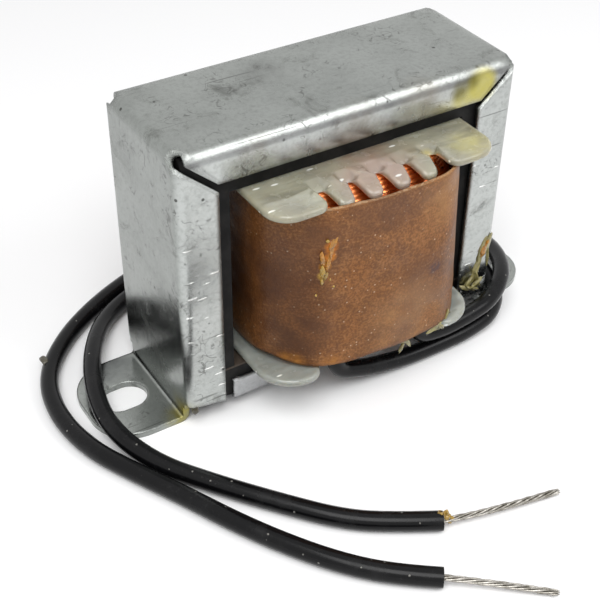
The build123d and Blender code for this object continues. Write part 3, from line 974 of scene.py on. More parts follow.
@dataclass
class Bracket:
    """Channel bracket and the keeper channel under the core.

    Attributes:
        lip: Outer face of the front lips along Y.
        chromate: Colour of the yellow patches at the top right.
        olive: Colour of the dark streak in them.
        grease: Colour of the brown smears along the top lip.
        keeper_colour: Colour of the keeper's plate.
        keeper_roughness: Its roughness.
    """

    lip: float = -9.6
    chromate: Colour = (0.47, 0.425, 0.125)
    olive: Colour = (0.12, 0.105, 0.018)
    grease: Colour = (0.22, 0.185, 0.135)
    keeper_colour: Colour = (0.47, 0.477, 0.484)
    keeper_roughness: float = 0.24

    def stains(self) -> tuple[Stain, ...]:
        """Patches on the bracket: on the top lip, at the left corner and on the top, and a painted shadow of
        the leads on the left foot.
        """
        return (
            Stain((13.2, self.lip, 36.6), 2.4, self.chromate, 0.5, 0.9, 0.7),
            Stain((16.2, self.lip, 37.4), 2.6, self.chromate, 0.8, 0.7, 0.85),
            Stain((19.2, self.lip, 38.8), 3.1, self.chromate, 1.0, 0.5, 0.9),
            Stain((15.6, self.lip, 39.0), 2.1, self.olive, 0.85, 0.9, 0.85),
            Stain((17.6, self.lip, 39.9), 1.9, self.olive, 0.8, 0.9, 0.85),
            Stain((10.0, self.lip, 38.2), 5.5, self.grease, 0.5),
            Stain((0.0, self.lip, 38.0), 5.0, self.grease, 0.35),
            Stain((-14.0, self.lip, 38.5), 4.0, self.grease, 0.3),
            Stain((-25.0, -7.5, 1.8), 3.6, (0.3, 0.265, 0.06), 0.9),
            Stain((-6.0, 4.0, 41.5), 4.5, (0.1, 0.1, 0.095), 0.4),
            # Painted shadow of the leads on the back of the left foot.
            Stain((-29.0, 7.0, 0.9), 7.0, (0.075, 0.08, 0.08), 0.75, 0.9, 0.7),
        )

    def build(self) -> None:
        """Dresses both in zinc plate."""
        keeper = ZincPlate("keeper_plate", self.keeper_colour, self.keeper_colour, self.keeper_roughness)
        dress_node("channel_bracket", ZincPlate("zinc_plate", stains=self.stains()).material())
        dress_node("keeper_channel", keeper.material())


@dataclass
class Core:
    """E and I laminations as separate plates, and the gap paper between them.

    Attributes:
        half_width: Half the core's width.
        tongue: Width of the middle leg.
        leg: Width of an outer leg.
        bottom: Underside of the I plates.
        gap_bottom: Top of the I plates.
        window_bottom: Underside of the E plates.
        window_top: Underside of the yoke.
        top: Top of the core.
        stack: Depth of the stack.
        plates: Number of plates.
        film: Gap between plates.
        stagger: How far a plate may stand out of line.
        e_seed: Seed of the E plates' stagger.
        i_seed: Seed of the I plates' stagger.
        gap_colour: Colour of the gap paper.
    """

    half_width: float = 23.8
    tongue: float = 12.7
    leg: float = 6.35
    bottom: float = 2.2
    gap_bottom: float = 6.7
    window_bottom: float = 7.0
    window_top: float = 34.4
    top: float = 40.5
    stack: float = 16.8
    plates: int = 34
    film: float = 0.05
    stagger: float = 0.04
    e_seed: int = 11
    i_seed: int = 12
    gap_colour: Colour = (0.045, 0.032, 0.022)

    def stacked(self, name: str, outline: list[Span], seed: int, material: bpy.types.Material,
                node: str) -> None:
        """Stacks flat plates of one outline along Y.

        Plate k is the outline at its front and back faces, moved by a small seeded stagger in X and Z.

        Args:
            name: Name of the piece.
            outline: Outline in X and Z, anticlockwise from the front.
            seed: Seed of the stagger.
            material: Its finish.
            node: Node that the stack stands for.
        """
        pitch = self.stack / self.plates
        front = -self.stack / 2.0 + pitch * np.arange(self.plates)
        faces_y = np.stack([front + self.film / 2.0, front + pitch - self.film / 2.0], 1)
        shift = np.random.default_rng(seed).uniform(-self.stagger, 0.0, (self.plates, 1, 1, 2))
        flat = np.broadcast_to(outline, (self.plates, 2, len(outline), 2)) + shift
        depth = np.broadcast_to(faces_y[:, :, None], flat.shape[:3])
        points = np.stack([flat[..., 0], depth, flat[..., 1]], -1)
        count = len(outline)
        start = (np.arange(self.plates) * 2 * count)[:, None]
        ring = np.arange(count)
        following = np.roll(ring, -1)
        fronts = (start + ring).tolist()
        backs = (start + count + ring[::-1]).tolist()
        rim = np.stack([following, ring, ring + count, following + count], -1)
        rims = (start[:, :, None] + rim[None]).reshape(-1, 4).tolist()
        add_piece(new_mesh(name, points, fronts + backs + rims, False), material, Slot.LAMINATION, node)

    def build(self) -> None:
        """Makes both stacks and dresses the gap paper."""
        steel = LaminationSteel().material()
        half, inner, mid = self.half_width, self.half_width - self.leg, self.tongue / 2.0
        low, high = self.window_bottom, self.window_top
        letter = [
            (-half, low), (-inner, low), (-inner, high), (-mid, high), (-mid, low), (mid, low), (mid, high),
            (inner, high), (inner, low), (half, low), (half, self.top), (-half, self.top),
        ]
        bar = [(-half, self.bottom), (half, self.bottom), (half, self.gap_bottom), (-half, self.gap_bottom)]
        self.stacked("e_plates", letter, self.e_seed, steel, "e_lamination_stack")
        self.stacked("i_plates", bar, self.i_seed, steel, "i_lamination_stack")
        dress_node("gap_spacer", Paperboard("gap_paper", self.gap_colour).material())


def soft_outline(corners: np.ndarray, radii: np.ndarray, steps: int = 9,
                 run: int = 8) -> tuple[np.ndarray, np.ndarray]:
    """Closed outline whose corners are rounded by tangent arcs.

    Corner k becomes points on the circle of its radius that touches both of its sides, and the straight run
    to the next arc is divided evenly.

    Args:
        corners: Corners anticlockwise, two numbers each.
        radii: Radius at each corner.
        steps: Points on each arc.
        run: Points on each straight run.

    Returns:
        Points and outward normals.
    """
    before = unit(np.roll(corners, 1, 0) - corners)
    after = unit(np.roll(corners, -1, 0) - corners)
    half = np.arccos(np.clip((before * after).sum(1), -1.0, 1.0)) / 2.0
    centre = corners + unit(before + after) * (radii / np.sin(half))[:, None]
    start = corners + before * (radii / np.tan(half))[:, None] - centre
    turn = np.sign(before[:, 1] * after[:, 0] - before[:, 0] * after[:, 1])
    angle = (turn * (np.pi - 2.0 * half))[:, None] * np.linspace(0.0, 1.0, steps)
    cos, sin = np.cos(angle), np.sin(angle)
    arm = np.stack([start[:, :1] * cos - start[:, 1:] * sin, start[:, :1] * sin + start[:, 1:] * cos], -1)
    points = centre[:, None] + arm
    normals = arm * (turn / radii)[:, None, None]
    share = np.linspace(0.0, 1.0, run + 2)[1:-1, None]
    straight = points[:, -1:] * (1.0 - share) + np.roll(points[:, :1], -1, 0) * share
    level = np.broadcast_to(normals[:, -1:], straight.shape)
    points = np.concatenate([points, straight], 1).reshape(-1, 2)
    return points, np.concatenate([normals, level], 1).reshape(-1, 2)


Shell = tuple[np.ndarray, list[list[int]]]


def inside(points: np.ndarray, ring: np.ndarray, margin: float) -> np.ndarray:
    """Those points that lie inside a closed outline and at least a margin away from it.

    A point is inside when a ray from it towards +X crosses the outline an odd number of times, and its
    distance is that to the nearest of the outline's sides.
    """
    start, end = ring[None], np.roll(ring, -1, 0)[None]
    side, arm = end - start, points[:, None] - start
    share = np.clip((arm * side).sum(-1) / (side**2).sum(-1), 0.0, 1.0)
    away = np.linalg.norm(arm - side * share[..., None], axis=-1).min(1)
    rises = (start[..., 1] > points[:, None, 1]) != (end[..., 1] > points[:, None, 1])
    slope = np.where(rises, side[..., 1], 1.0)
    crosses = rises & (arm[..., 0] < arm[..., 1] / slope * side[..., 0])
    return points[(crosses.sum(1) % 2 == 1) & (away > margin)]


def slab(outline: np.ndarray, normal: np.ndarray, low: float, high: float, edge: float,
         inner: np.ndarray) -> Shell:
    """Closed plate with rounded edges.

    Each row of its skin is the outline, drawn in and raised along a quarter circle at the lower edge and
    another at the upper edge. Both ends are closed by triangles over the drawn-in outline and the points
    inside it.

    Args:
        outline: Plan of the plate, anticlockwise.
        normal: Outward normals of the plan.
        low: Underside.
        high: Upper side.
        edge: Radius of the edges.
        inner: Points that the flat sides may use.

    Returns:
        Points and faces.
    """
    under = np.linspace(-np.pi / 2.0, 0.0, EDGE_ROWS)
    over = np.linspace(0.0, np.pi / 2.0, EDGE_ROWS)
    draw_in = edge * (1.0 - np.cos(np.concatenate([under, over])))
    rise = np.concatenate([low + edge + edge * np.sin(under), high - edge + edge * np.sin(over)])
    plan = outline[None] - normal[None] * draw_in[:, None, None]
    skin = np.concatenate([plan, np.broadcast_to(rise[:, None, None], (*plan.shape[:2], 1))], -1)
    rows, columns = skin.shape[:2]
    ring = plan[0]
    within = inside(inner, ring, RIM_MARGIN)
    flat = [Vector(point) for point in np.vstack([ring, within]).tolist()]
    rim = [list(range(columns))]
    triangles = np.array(delaunay_2d_cdt(flat, [], rim, INSIDE_ONLY, SAME_POINT)[2])
    first, last = rows * columns, rows * columns + len(within)
    lower = np.where(triangles < columns, triangles, triangles - columns + first)[:, ::-1]
    upper = np.where(triangles < columns, triangles + first - columns, triangles - columns + last)
    floors = [np.column_stack([within, np.full(len(within), level)]) for level in (low, high)]
    faces = grid_faces(rows, columns, closed=True).tolist() + lower.tolist() + upper.tolist()
    return np.vstack([skin.reshape(-1, 3), *floors]), faces


def joined(shells: list[Shell]) -> Shell:
    """One shell from several."""
    points = np.concatenate([shell[0] for shell in shells])
    starts = np.cumsum([0] + [len(shell[0]) for shell in shells])
    faces = [
        [index + int(start) for index in face]
        for start, shell in zip(starts, shells)
        for face in shell[1]
    ]
    return points, faces


@dataclass
class Bobbin:
    """Moulded bobbin: tube, two lobed flanges, and drooping fingers at the front and back of the upper one.

    Attributes:
        shift: How far its middle lies to the right of the part's.
        half_width: Half the flanges' width.
        lobe_reach: How far the lobes reach to the front and back.
        lobe_edge: Half the gap between the lobes.
        root: Depth of the gap between the lobes.
        slot_root: Depth of the slots between the fingers.
        lobe_round: Radius of the upper lobes' outer corners.
        low_round: Radius of the lower lobes' outer corners.
        inner_share: Radius of a lobe's inner corner as a share of its outer one.
        gap_round: Radius at the roots of the gap between the lobes.
        slot_round: Radius at the roots of the slots.
        tip_round: Radius at the fingers' tips.
        bottom: Underside of the lower flange.
        top: Upper side of the upper flange.
        flange: Thickness of the flanges.
        edge: Radius of the upper flange's edges.
        low_edge: Radius of the lower flange's edges.
        fingers: Number of fingers on each side.
        pitch: Distance between them.
        finger_width: Width at the root and near the tip.
        finger_tip: How far they reach.
        crease: Where they start to bend down.
        droop: How far their tips hang down.
        droop_fade: Width at the lobes' edges over which that bend fades out.
        hollow_half: Half the width of a hollow at a slot's root.
        hollow_fade: Width over which a hollow's sides fall.
        hollow_run: Length over which it sinks before the root and rises beyond it.
        hollow_floor: Thickness that is left under it.
        hollow_margin: How far hollows may reach into the lobes.
        fine: Distance between the points on the upper flange's fingers.
        fine_margin: How far those points go on beside the fingers and behind the root.
        coarse: Distance between the points on the lower flange.
        tube_half: Half sizes of the tube.
        tube_round: Radius of its corners.
        tube_edge: Radius of its ends' edges.
        tube_sunk: How far its ends lie within the flanges.
        sharp: Angle in degrees from which an edge stays sharp.
    """

    shift: float = 0.65
    half_width: float = 16.65
    lobe_reach: float = 16.8
    lobe_edge: float = 9.025
    root: float = 11.8
    slot_root: float = 12.7
    lobe_round: float = 3.4
    low_round: float = 5.2
    inner_share: float = 0.44
    gap_round: float = 0.5
    slot_round: float = 0.35
    tip_round: float = 0.95
    bottom: float = 7.0
    top: float = 34.3
    flange: float = 1.1
    edge: float = 0.45
    low_edge: float = 0.528
    fingers: int = 4
    pitch: float = 4.1
    finger_width: Span = (3.3, 2.0)
    finger_tip: float = 16.3
    crease: float = 12.6
    droop: float = 1.0
    droop_fade: float = 0.4
    hollow_half: float = 1.35
    hollow_fade: float = 0.6
    hollow_run: float = 0.8
    hollow_floor: float = 0.35
    hollow_margin: float = 0.3
    fine: float = 0.28
    fine_margin: Span = (0.5, 1.4)
    coarse: float = 0.5
    tube_half: Span = (8.1, 9.5)
    tube_round: float = 0.8
    tube_edge: float = 0.1
    tube_sunk: float = 0.5
    sharp: float = 50.0

    def plan(self, fingers: int, root: float, outer: float) -> tuple[np.ndarray, np.ndarray]:
        """Outline of a flange.

        Args:
            fingers: Number of fingers at its front and back.
            root: Depth of the gap or slots between the lobes.
            outer: Radius of the lobes' outer corners.

        Returns:
            Points and outward normals.
        """
        wide, reach, gap, tip = self.half_width, self.lobe_reach, self.lobe_edge, self.finger_tip
        places = (np.arange(fingers) - (fingers - 1) / 2.0) * self.pitch
        base, end = self.finger_width[0] / 2.0, self.finger_width[1] / 2.0
        finger = (
            (-base, root, self.slot_round), (-end, tip, self.tip_round),
            (end, tip, self.tip_round), (base, root, self.slot_round),
        )
        comb = [(place + side, -deep, radius) for place in places for side, deep, radius in finger]
        inner = outer * self.inner_share
        left = [(-wide, -reach, outer), (-gap, -reach, inner), (-gap, -root, self.gap_round)]
        right = [(gap, -root, self.gap_round), (gap, -reach, inner), (wide, -reach, outer)]
        front = np.array(left + comb + right)
        corners = np.vstack([front, front * np.array([-1.0, -1.0, 1.0])])
        return soft_outline(corners[:, :2], corners[:, 2])

    def moulded(self, points: np.ndarray) -> np.ndarray:
        """Bends the fingers down and hollows the roots of the slots.

        Past the crease a finger falls by the power 1.5 of the way to its tip. Between fingers the upper side
        sinks by the power 1.2 of the way to the slot's root, and it rises again beyond that.
        """
        across, deep = np.abs(points[:, 0]), np.abs(points[:, 1])
        comb = np.clip((self.lobe_edge - across) / self.droop_fade - 0.5, 0.0, 1.0)
        way = np.clip((deep - self.crease) / (self.finger_tip - self.crease), 0.0, 1.0)
        off = np.abs(np.mod(points[:, 0] + self.pitch / 2.0, self.pitch) - self.pitch / 2.0)
        slot = np.clip((self.hollow_half - off) / self.hollow_fade, 0.0, 1.0)
        slot *= across < self.lobe_edge + self.hollow_margin
        before = self.root - self.hollow_run
        near = np.clip((deep - before) / (self.slot_root - before), 0.0, 1.0)
        past = np.clip((self.slot_root - deep) / self.hollow_run + 1.0, 0.0, 1.0)
        upper = np.clip((points[:, 2] - self.top) / self.flange + 1.0, 0.0, 1.0)
        sink = (self.flange - self.hollow_floor) * slot * near**1.2 * past * upper
        return points - np.outer(self.droop * comb * way**1.5 + sink, (0.0, 0.0, 1.0))

    def upper_flange(self) -> Shell:
        """Upper flange with its fingers."""
        beside, behind = self.fine_margin
        columns = np.arange(-self.lobe_edge - beside, self.lobe_edge + beside, self.fine)
        rows = np.arange(self.root - behind, self.finger_tip, self.fine)
        grid = np.stack(np.meshgrid(columns, np.concatenate([-rows, rows])), -1).reshape(-1, 2)
        plan = self.plan(self.fingers, self.slot_root, self.lobe_round)
        points, faces = slab(*plan, self.top - self.flange, self.top, self.edge, grid)
        return self.moulded(points), faces

    def lower_flange(self) -> Shell:
        """Lower flange, which has lobes only."""
        spread = np.arange(-self.lobe_reach, self.lobe_reach, self.coarse)
        grid = np.stack(np.meshgrid(spread, spread), -1).reshape(-1, 2)
        plan = self.plan(0, self.root, self.low_round)
        return slab(*plan, self.bottom, self.bottom + self.flange, self.low_edge, grid)

    def tube(self) -> Shell:
        """Tube between the flanges, closed at its ends, which lie within them."""
        wide, deep = self.tube_half
        square = np.array([(-wide, -deep), (wide, -deep), (wide, deep), (-wide, deep)])
        plan = soft_outline(square, np.full(len(square), self.tube_round))
        low, high = self.bottom + self.tube_sunk, self.top - self.tube_sunk
        return slab(*plan, low, high, self.tube_edge, np.zeros((0, 2)))

    def build(self) -> None:
        """Makes the bobbin as one piece."""
        points, faces = joined([self.upper_flange(), self.lower_flange(), self.tube()])
        mesh = new_mesh("bobbin_body", points + np.array([self.shift, 0.0, 0.0]), faces)
        mesh.set_sharp_from_angle(angle=math.radians(self.sharp))
        # Painted light: the pinkish tints on the flange and the fingers stand in for the copper's glow through
        # the nylon.
        painted_copper_glow = Stain((0.6, -10.5, 34.3), 9.5, (0.265, 0.185, 0.125), 0.9)
        yellow = Stain((14.5, -14.5, 34.2), 4.5, (0.5, 0.46, 0.2), 0.5)
        gold = Stain((8.6, -13.0, 33.8), 1.5, (0.5, 0.4, 0.08), 0.8)
        tips = Stain((0.0, -15.4, 33.6), 7.5, (0.42, 0.31, 0.27), 0.6, 0.6, 0.6)
        add_piece(mesh, MilkyNylon(stains=(painted_copper_glow, yellow, gold, tips)).material(), Slot.NYLON, "bobbin")


@dataclass
class Coil:
    """Copper winding and paper wrap, about the bobbin's own middle.

    Attributes:
        shift: How far the bobbin's middle lies to the right of the part's.
        bottom: Upper face of the bottom flange.
        top: Lower face of the top flange.
        half: Half sizes of the wrap at its corners.
        corner: Radius of its corners.
        bulge: How far its front and back swell in the middle.
        paper: Thickness of the paper.
        overlap: Share of a turn by which the paper laps itself at the back.
        climb: Share of that lap over which the paper climbs on itself.
        lap_height: How far it climbs.
        paper_room: Gap between the paper's edges and the flanges.
        paper_least: The least that its wandering edges keep of that gap.
        paper_inset: How far the paper lies inside its plan.
        paper_grid: Points up and round the paper.
        slow: Height, seed and reach of its slow ripples.
        quick: The same of its quick ones.
        hem: The same of its edges.
        hem_inset: How far its edges stay back.
        flare: How far its right side stands out at the bottom and in at the top.
        skew: Slope by which its front is turned.
        lift: How far its lower left edge is lifted.
        lift_at: Where that is in X and Y.
        lift_spread: Square of the distance over which the lift fades.
        wire: Diameter of the copper wire.
        wire_room: Gap between the wire and the flanges.
        wire_points: Points on a wire's half circle.
        ring_points: Points round the winding.
        tube_half: Half sizes of the bobbin's tube outside.
        tightest: Least radius of the turns' corners.
        shoulder_step: Depth of the outer layers that stop short.
        shoulder_drop: How far they stop short.
        slack: Gap between the paper's outside and the winding.
    """

    shift: float = 0.65
    bottom: float = 8.1
    top: float = 33.2
    half: Span = (15.15, 15.0)
    corner: float = 7.0
    bulge: float = 2.2
    paper: float = 0.3
    overlap: float = 0.09
    climb: float = 0.4
    lap_height: float = 0.27
    paper_room: float = 0.1
    paper_least: float = 0.04
    paper_inset: float = 0.05
    paper_grid: tuple[int, int] = (56, 460)
    slow: tuple[float, int, float] = (0.12, 5, 0.32)
    quick: tuple[float, int, float] = (0.03, 6, 1.6)
    hem: tuple[float, int, float] = (0.14, 8, 0.9)
    hem_inset: float = 0.06
    flare: float = 0.75
    skew: float = 0.045
    lift: float = 0.95
    lift_at: Span = (-13.0, -10.5)
    lift_spread: float = 32.0
    wire: float = 0.34
    wire_room: float = 0.05
    wire_points: int = 6
    ring_points: int = 160
    tube_half: Span = (8.15, 9.55)
    tightest: float = 0.5
    shoulder_step: float = 2.2
    shoulder_drop: float = 2.6
    slack: float = 0.62

    def swollen(self, plan: np.ndarray) -> np.ndarray:
        """Swells a plan to the front and back: most in the middle of its width, by the cube of its depth."""
        share = np.clip(1.0 - (plan[..., 0] / self.half[0]) ** 2, 0.0, 1.0)
        swell = self.bulge * share * (plan[..., 1] / self.half[1]) ** 3
        return np.stack([plan[..., 0], plan[..., 1] + swell], -1)

    def profile(self) -> tuple[np.ndarray, np.ndarray]:
        """Section of the winding: how far in each point lies, and its height.

        It runs out along the bottom end, up the outside and in along the top end. On the ends each wire is a
        half circle, and the outer layers stop short of the flanges.
        """
        bead = np.linspace(0.0, np.pi, self.wire_points + 1)[:-1]
        turns = int((self.half[0] - self.tube_half[0] - self.slack) / self.wire)
        inset = (np.arange(turns)[:, None] + 0.5 - 0.5 * np.cos(bead)) * self.wire
        drop = self.shoulder_drop * np.clip(1.0 - inset / self.shoulder_step, 0.0, 1.0)
        height = self.top - self.wire_room - drop + 0.5 * self.wire * (np.sin(bead) - 1.0)
        low = self.bottom + self.top - height
        inward = np.concatenate([inset.ravel()[::-1], inset.ravel()])
        return inward, np.concatenate([low.ravel()[::-1], height.ravel()])

    def winding(self, material: bpy.types.Material) -> None:
        """Copper turns: the beaded section carried round rounded rectangles.

        A point goes in along the outline's normal until the corner is at its tightest, and then straight
        towards the tube.
        """
        inward, height = self.profile()
        share = np.linspace(0.0, 1.0, self.ring_points, endpoint=False)
        corner = self.corner - self.slack
        at, out = ring_path((self.half[0] - self.slack, self.half[1] - self.slack), corner, share)
        reach = corner - self.tightest
        along = np.minimum(inward, reach)[:, None, None] * out
        beyond = np.maximum(inward - reach, 0.0)[:, None, None]
        pull = np.where(np.abs(out) > 0.5, np.sign(out), 0.0) * beyond
        plan = self.swollen(at - along - pull) + np.array([self.shift, 0.0])
        heights = np.broadcast_to(height[:, None, None], (*plan.shape[:2], 1))
        points = np.concatenate([plan, heights], -1)
        mesh = new_mesh("copper_turns", points, grid_faces(*points.shape[:2], closed=True).tolist())
        add_piece(mesh, material, Slot.COPPER, "copper_winding")

    def wrap(self, material: bpy.types.Material) -> None:
        """Paper wrapped once round and lapped at the back.

        The strip walks round the swollen plan and climbs where it laps itself. It stands wider at the lower
        right, its front is turned a little, its lower left edge is lifted, and ripples and wandering edges go
        over all of it.
        """
        count_up, count_round = self.paper_grid
        turn = np.linspace(-0.5 * self.overlap, 1.0 + 0.5 * self.overlap, count_round)
        at, out = ring_path(self.half, self.corner, turn)
        along, level = np.meshgrid(turn * 4.0 * sum(self.half), np.linspace(0.0, 1.0, count_up))
        tall = self.top - self.bottom - 2.0 * self.paper_room
        waves = [
            size * ripple(along, level * tall, seed, reach) for size, seed, reach in (self.slow, self.quick)
        ]
        lap = (turn - 1.0 + (1.0 - self.climb) * self.overlap) / (self.climb * self.overlap)
        swell = sum(waves) - self.paper_inset + np.clip(lap, 0.0, 1.0) * self.lap_height
        plan = self.swollen(at + out * swell[..., None])
        right = np.clip(plan[..., 0] / self.half[0], 0.0, 1.0)
        front = np.clip(-plan[..., 1] / self.half[1], 0.0, 1.0)
        plan[..., 0] += self.flare * (1.0 - 2.0 * level) * right + self.shift
        plan[..., 1] -= self.skew * plan[..., 0] * front
        size, seed, reach = self.hem
        hem = size * ripple(along, np.zeros_like(along), seed, reach) - self.hem_inset
        lifted = self.lift * np.exp(-((plan - np.array(self.lift_at)) ** 2).sum(-1) / self.lift_spread)
        edges = level**8 * hem + (1.0 - level) ** 4 * (lifted - hem)
        height = self.bottom + self.paper_room + tall * level + edges
        height = np.clip(height, self.bottom + self.paper_least, self.top - self.paper_least)
        points = np.concatenate([plan, height[..., None]], -1)
        mesh = new_mesh("paper_turn", points, grid_faces(*points.shape[:2]).tolist())
        piece = add_piece(mesh, material, Slot.PAPER, "paper_wrap")
        thick = piece.modifiers.new("thickness", "SOLIDIFY")
        thick.thickness = self.paper * MM
        thick.offset = -1.0

    @staticmethod
    def stains() -> tuple[Stain, ...]:
        """Patches on the wrap: painted shade, soaked and worn places, and the torn spot."""
        soaked = (0.12, 0.045, 0.014)
        dark = (0.11, 0.042, 0.016)
        return (
            # The first two patches are painted shade on the wrap's left side.
            Stain((-14.5, -7.5, 21.0), 14.0, (0.065, 0.022, 0.007), 1.0),
            Stain((-11.6, -14.0, 14.0), 5.5, (0.065, 0.024, 0.008), 0.9),
            Stain((-9.6, -15.5, 29.0), 4.5, soaked, 0.6),
            Stain((4.6, -17.2, 20.0), 5.5, soaked, 0.45),
            Stain((-11.8, -13.4, 8.6), 2.6, (0.5, 0.2, 0.03), 0.8),
            Stain((-7.4, -15.9, 8.2), 2.4, (0.45, 0.18, 0.03), 0.7),
            Stain((1.7, -17.2, 29.8), 4.2, dark, 0.6),
            Stain((-2.9, -17.0, 30.6), 4.0, dark, 0.45),
            Stain((-9.0, -15.8, 14.0), 5.0, dark, 0.4),
            Stain((8.0, -17.0, 18.9), 1.5, (0.045, 0.025, 0.035), 0.85),
            Stain((9.0, -17.0, 29.5), 6.0, (0.5, 0.25, 0.09), 0.45),
            Stain((-7.8, -16.1, 27.6), 1.15, (0.55, 0.17, 0.012), 1.0, 0.6),
            Stain((-8.1, -16.1, 26.2), 1.15, (0.6, 0.2, 0.015), 1.0, 0.6),
            Stain((-9.1, -15.9, 26.6), 1.2, (0.11, 0.03, 0.005), 0.95),
            Stain((-8.6, -16.0, 24.7), 1.0, (0.6, 0.25, 0.025), 1.0, 0.6),
            Stain((-8.9, -16.0, 23.3), 0.9, (0.68, 0.42, 0.08), 1.0, 0.6),
            Stain((4.0, -17.0, 12.0), 9.0, (0.46, 0.25, 0.11), 0.4),
        )

    def build(self) -> None:
        """Makes the winding and the wrap and dresses the joints under the wrap."""
        self.winding(EnamelledCopper().material())
        self.wrap(KraftPaper(stains=self.stains()).material())
        sleeve = Paperboard("sleeve", (0.42, 0.3, 0.12)).material()
        for node in ("start_splice", "finish_splice"):
            dress_node(node, sleeve)


@dataclass(frozen=True)
class Lump:
    """One drop or crumb.

    Attributes:
        centre: Its middle.
        size: Its half sizes.
        tilt: Its turn in degrees about Y.
        ragged: How uneven it is.
        rings: Rings of points between its poles.
        columns: Points round each ring.
        reach: How quick its unevenness is.
    """

    centre: Point
    size: Point
    tilt: float = 0.0
    ragged: float = 0.12
    rings: int = 11
    columns: int = 18
    reach: float = 1.9

    def shell(self, seed: int) -> Shell:
        """Ball with poles closed by fans, stretched, roughened and turned.

        The radius at each point is one plus a seeded ripple of the point's place on the ball.
        """
        rings, columns = self.rings, self.columns
        polar, around = np.meshgrid(np.linspace(0.0, np.pi, rings + 2)[1:-1],
                                    np.linspace(0.0, 2.0 * np.pi, columns, endpoint=False), indexing="ij")
        girth = np.sin(polar)
        ball = np.stack([girth * np.cos(around), girth * np.sin(around), np.cos(polar)], -1).reshape(-1, 3)
        ball = np.vstack([ball, (0.0, 0.0, 1.0), (0.0, 0.0, -1.0)])
        across, along = ball[:, 0] * 3.0 + ball[:, 2], ball[:, 1] * 3.0 - ball[:, 2] * 2.0
        uneven = ripple(across, along, seed, self.reach)[:, None]
        points = ball * (1.0 + self.ragged * uneven) * np.array(self.size)
        turn = np.array(Matrix.Rotation(math.radians(self.tilt), 3, "Y"))
        faces = grid_faces(rings, columns, closed=True)[:, ::-1].tolist()
        ring = np.arange(columns)
        following = np.roll(ring, -1)
        north, south, last = rings * columns, rings * columns + 1, (rings - 1) * columns
        caps = np.stack([ring, following, np.full(columns, north)], -1).tolist()
        caps += np.stack([following + last, ring + last, np.full(columns, south)], -1).tolist()
        return points @ turn.T + np.array(self.centre), faces + caps


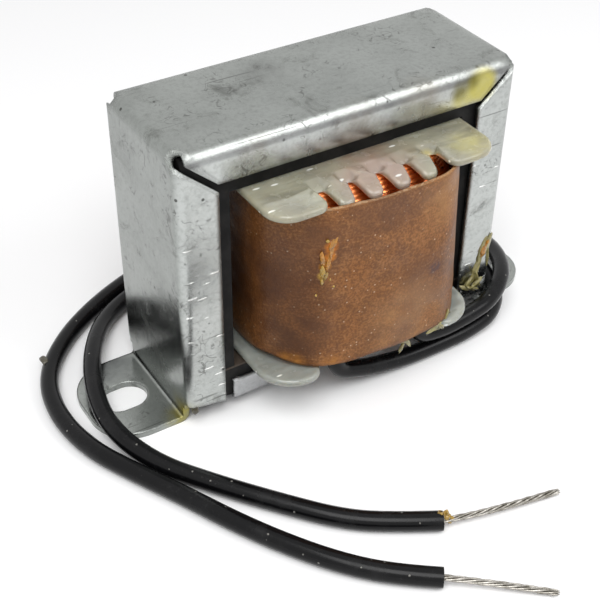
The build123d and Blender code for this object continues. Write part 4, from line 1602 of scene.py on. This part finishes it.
@dataclass
class VarnishMarks:
    """Drops and crumbs of varnish where they set on the coil, the bracket and the leads.

    Attributes:
        amber: Dark clear drops on the torn spot and the right lip.
        gold: Lighter drops round the torn spot and on the start lead's end.
        crumbs: Splinters under the coil and at the right lip's foot.
        dark: Dirt at the left lip's foot and on the finish lead.
        first_seed: Seed of the first lump of each kind, and the next lump has the next one.
    """

    amber: tuple[Lump, ...] = (
        Lump((-7.6, -16.12, 28.0), (0.4, 0.2, 0.95), 28.0, 0.5),
        Lump((-7.9, -16.08, 26.6), (0.35, 0.2, 1.2), 6.0, 0.5),
        Lump((-9.0, -15.9, 25.9), (0.3, 0.18, 1.0), -10.0, 0.5),
        Lump((-8.2, -16.05, 25.0), (0.3, 0.18, 0.9), 12.0, 0.5),
        Lump((23.1, -9.6, 11.4), (0.38, 0.25, 1.0), 20.0, 0.4),
        Lump((23.6, -9.6, 12.6), (0.26, 0.22, 0.5), 20.0, 0.4),
    )
    gold: tuple[Lump, ...] = (
        Lump((-8.9, -15.95, 24.0), (0.35, 0.2, 0.8), -8.0, 0.5),
        Lump((-8.5, -16.0, 23.3), (0.25, 0.18, 0.6), 14.0, 0.5),
        Lump((-9.0, -15.9, 22.5), (0.2, 0.16, 0.4), 0.0, 0.4),
        Lump((-9.7, -15.75, 20.6), (0.16, 0.14, 0.2)),
        Lump((-7.4, -16.2, 21.4), (0.16, 0.14, 0.2)),
        Lump((-7.9, -16.1, 22.6), (0.14, 0.14, 0.2)),
        Lump((-8.4, -16.1, 28.6), (0.3, 0.2, 0.22), 20.0),
        Lump((-7.0, -40.2, 2.2), (0.6, 0.45, 0.35), 20.0, 0.6),
        Lump((-6.4, -40.4, 2.1), (0.35, 0.4, 0.5), 0.0, 0.6),
        Lump((-6.2, -40.6, 1.7), (0.4, 0.4, 0.45), 30.0, 0.6),
        Lump((-5.9, -40.8, 1.2), (0.45, 0.35, 0.35), -20.0, 0.6),
    )
    crumbs: tuple[Lump, ...] = (
        Lump((4.4, -16.4, 7.4), (1.25, 0.2, 0.28), 24.0, 0.5),
        Lump((5.2, -16.1, 6.6), (0.24, 0.3, 1.1), -35.0, 0.5),
        Lump((4.2, -16.2, 6.4), (0.22, 0.25, 0.9), 28.0, 0.5),
        Lump((9.3, -16.6, 7.8), (1.3, 0.2, 0.3), -24.0, 0.5),
        Lump((10.3, -16.3, 7.9), (0.28, 0.4, 1.3), -38.0, 0.5),
        Lump((11.5, -15.8, 7.9), (0.25, 0.35, 1.5), 16.0, 0.5),
        Lump((12.4, -15.3, 8.6), (1.0, 0.2, 0.25), 42.0, 0.5),
        Lump((10.9, -16.0, 7.0), (1.1, 0.3, 0.25), -12.0, 0.5),
        Lump((23.4, -9.45, 11.9), (0.72, 0.22, 2.3), 20.0, 0.3),
        Lump((22.4, -9.45, 8.9), (0.42, 0.22, 1.9), 18.0, 0.4),
        Lump((21.7, -9.6, 7.0), (0.3, 0.25, 1.6), 24.0, 0.5),
        Lump((24.2, -9.4, 10.0), (0.2, 0.2, 1.6), -6.0, 0.5),
        Lump((21.2, -10.0, 5.6), (1.6, 0.4, 0.32), 25.0, 0.5),
        Lump((22.3, -9.9, 6.8), (0.3, 0.3, 1.5), -18.0, 0.5),
        Lump((20.6, -9.9, 6.6), (0.28, 0.3, 1.0), 38.0, 0.5),
        Lump((21.8, -10.3, 6.4), (1.2, 0.25, 0.28), -34.0, 0.5),
    )
    dark: tuple[Lump, ...] = (
        Lump((-23.9, -9.1, 2.7), (0.45, 0.4, 0.7), 0.0, 0.35),
        Lump((-37.0, 11.0, 2.3), (0.5, 0.9, 0.35), 0.0, 0.4),
    )
    first_seed: int = 31

    def build(self) -> None:
        """Makes one piece of each kind."""
        kinds = (
            (self.amber, Varnish("varnish_amber", (0.55, 0.23, 0.012), 0.1, 0.05)),
            (self.gold, Varnish("varnish_gold", (0.56, 0.34, 0.04), 0.2, 0.05)),
            (self.crumbs, Varnish("varnish_crumbs", (0.42, 0.37, 0.14), 0.15, 0.08)),
            (self.dark, Varnish("varnish_dark", (0.06, 0.05, 0.025), 0.0, 0.3)),
        )
        for lumps, finish in kinds:
            shells = [lump.shell(seed) for seed, lump in enumerate(lumps, self.first_seed)]
            add_piece(new_mesh(finish.name, *joined(shells)), finish.material(), Slot.SLEEVE)


def main() -> None:
    """Builds the studio and every sub-assembly."""
    Studio().build()
    black = LeadInsulation().material()
    tinned = TinnedWire().material()
    Lead("start_lead", START_ROUTE, (9.2, -43.8, 0.6), 187.4).build(black, tinned)
    Lead("finish_lead", FINISH_ROUTE, (-1.5, -55.8, 0.6), 192.4).build(black, tinned)
    Bracket().build()
    Core().build()
    Bobbin().build()
    Coil().build()
    VarnishMarks().build()


if __name__ == "__main__":
    logging.basicConfig(level=logging.INFO, format="%(message)s")
    main()
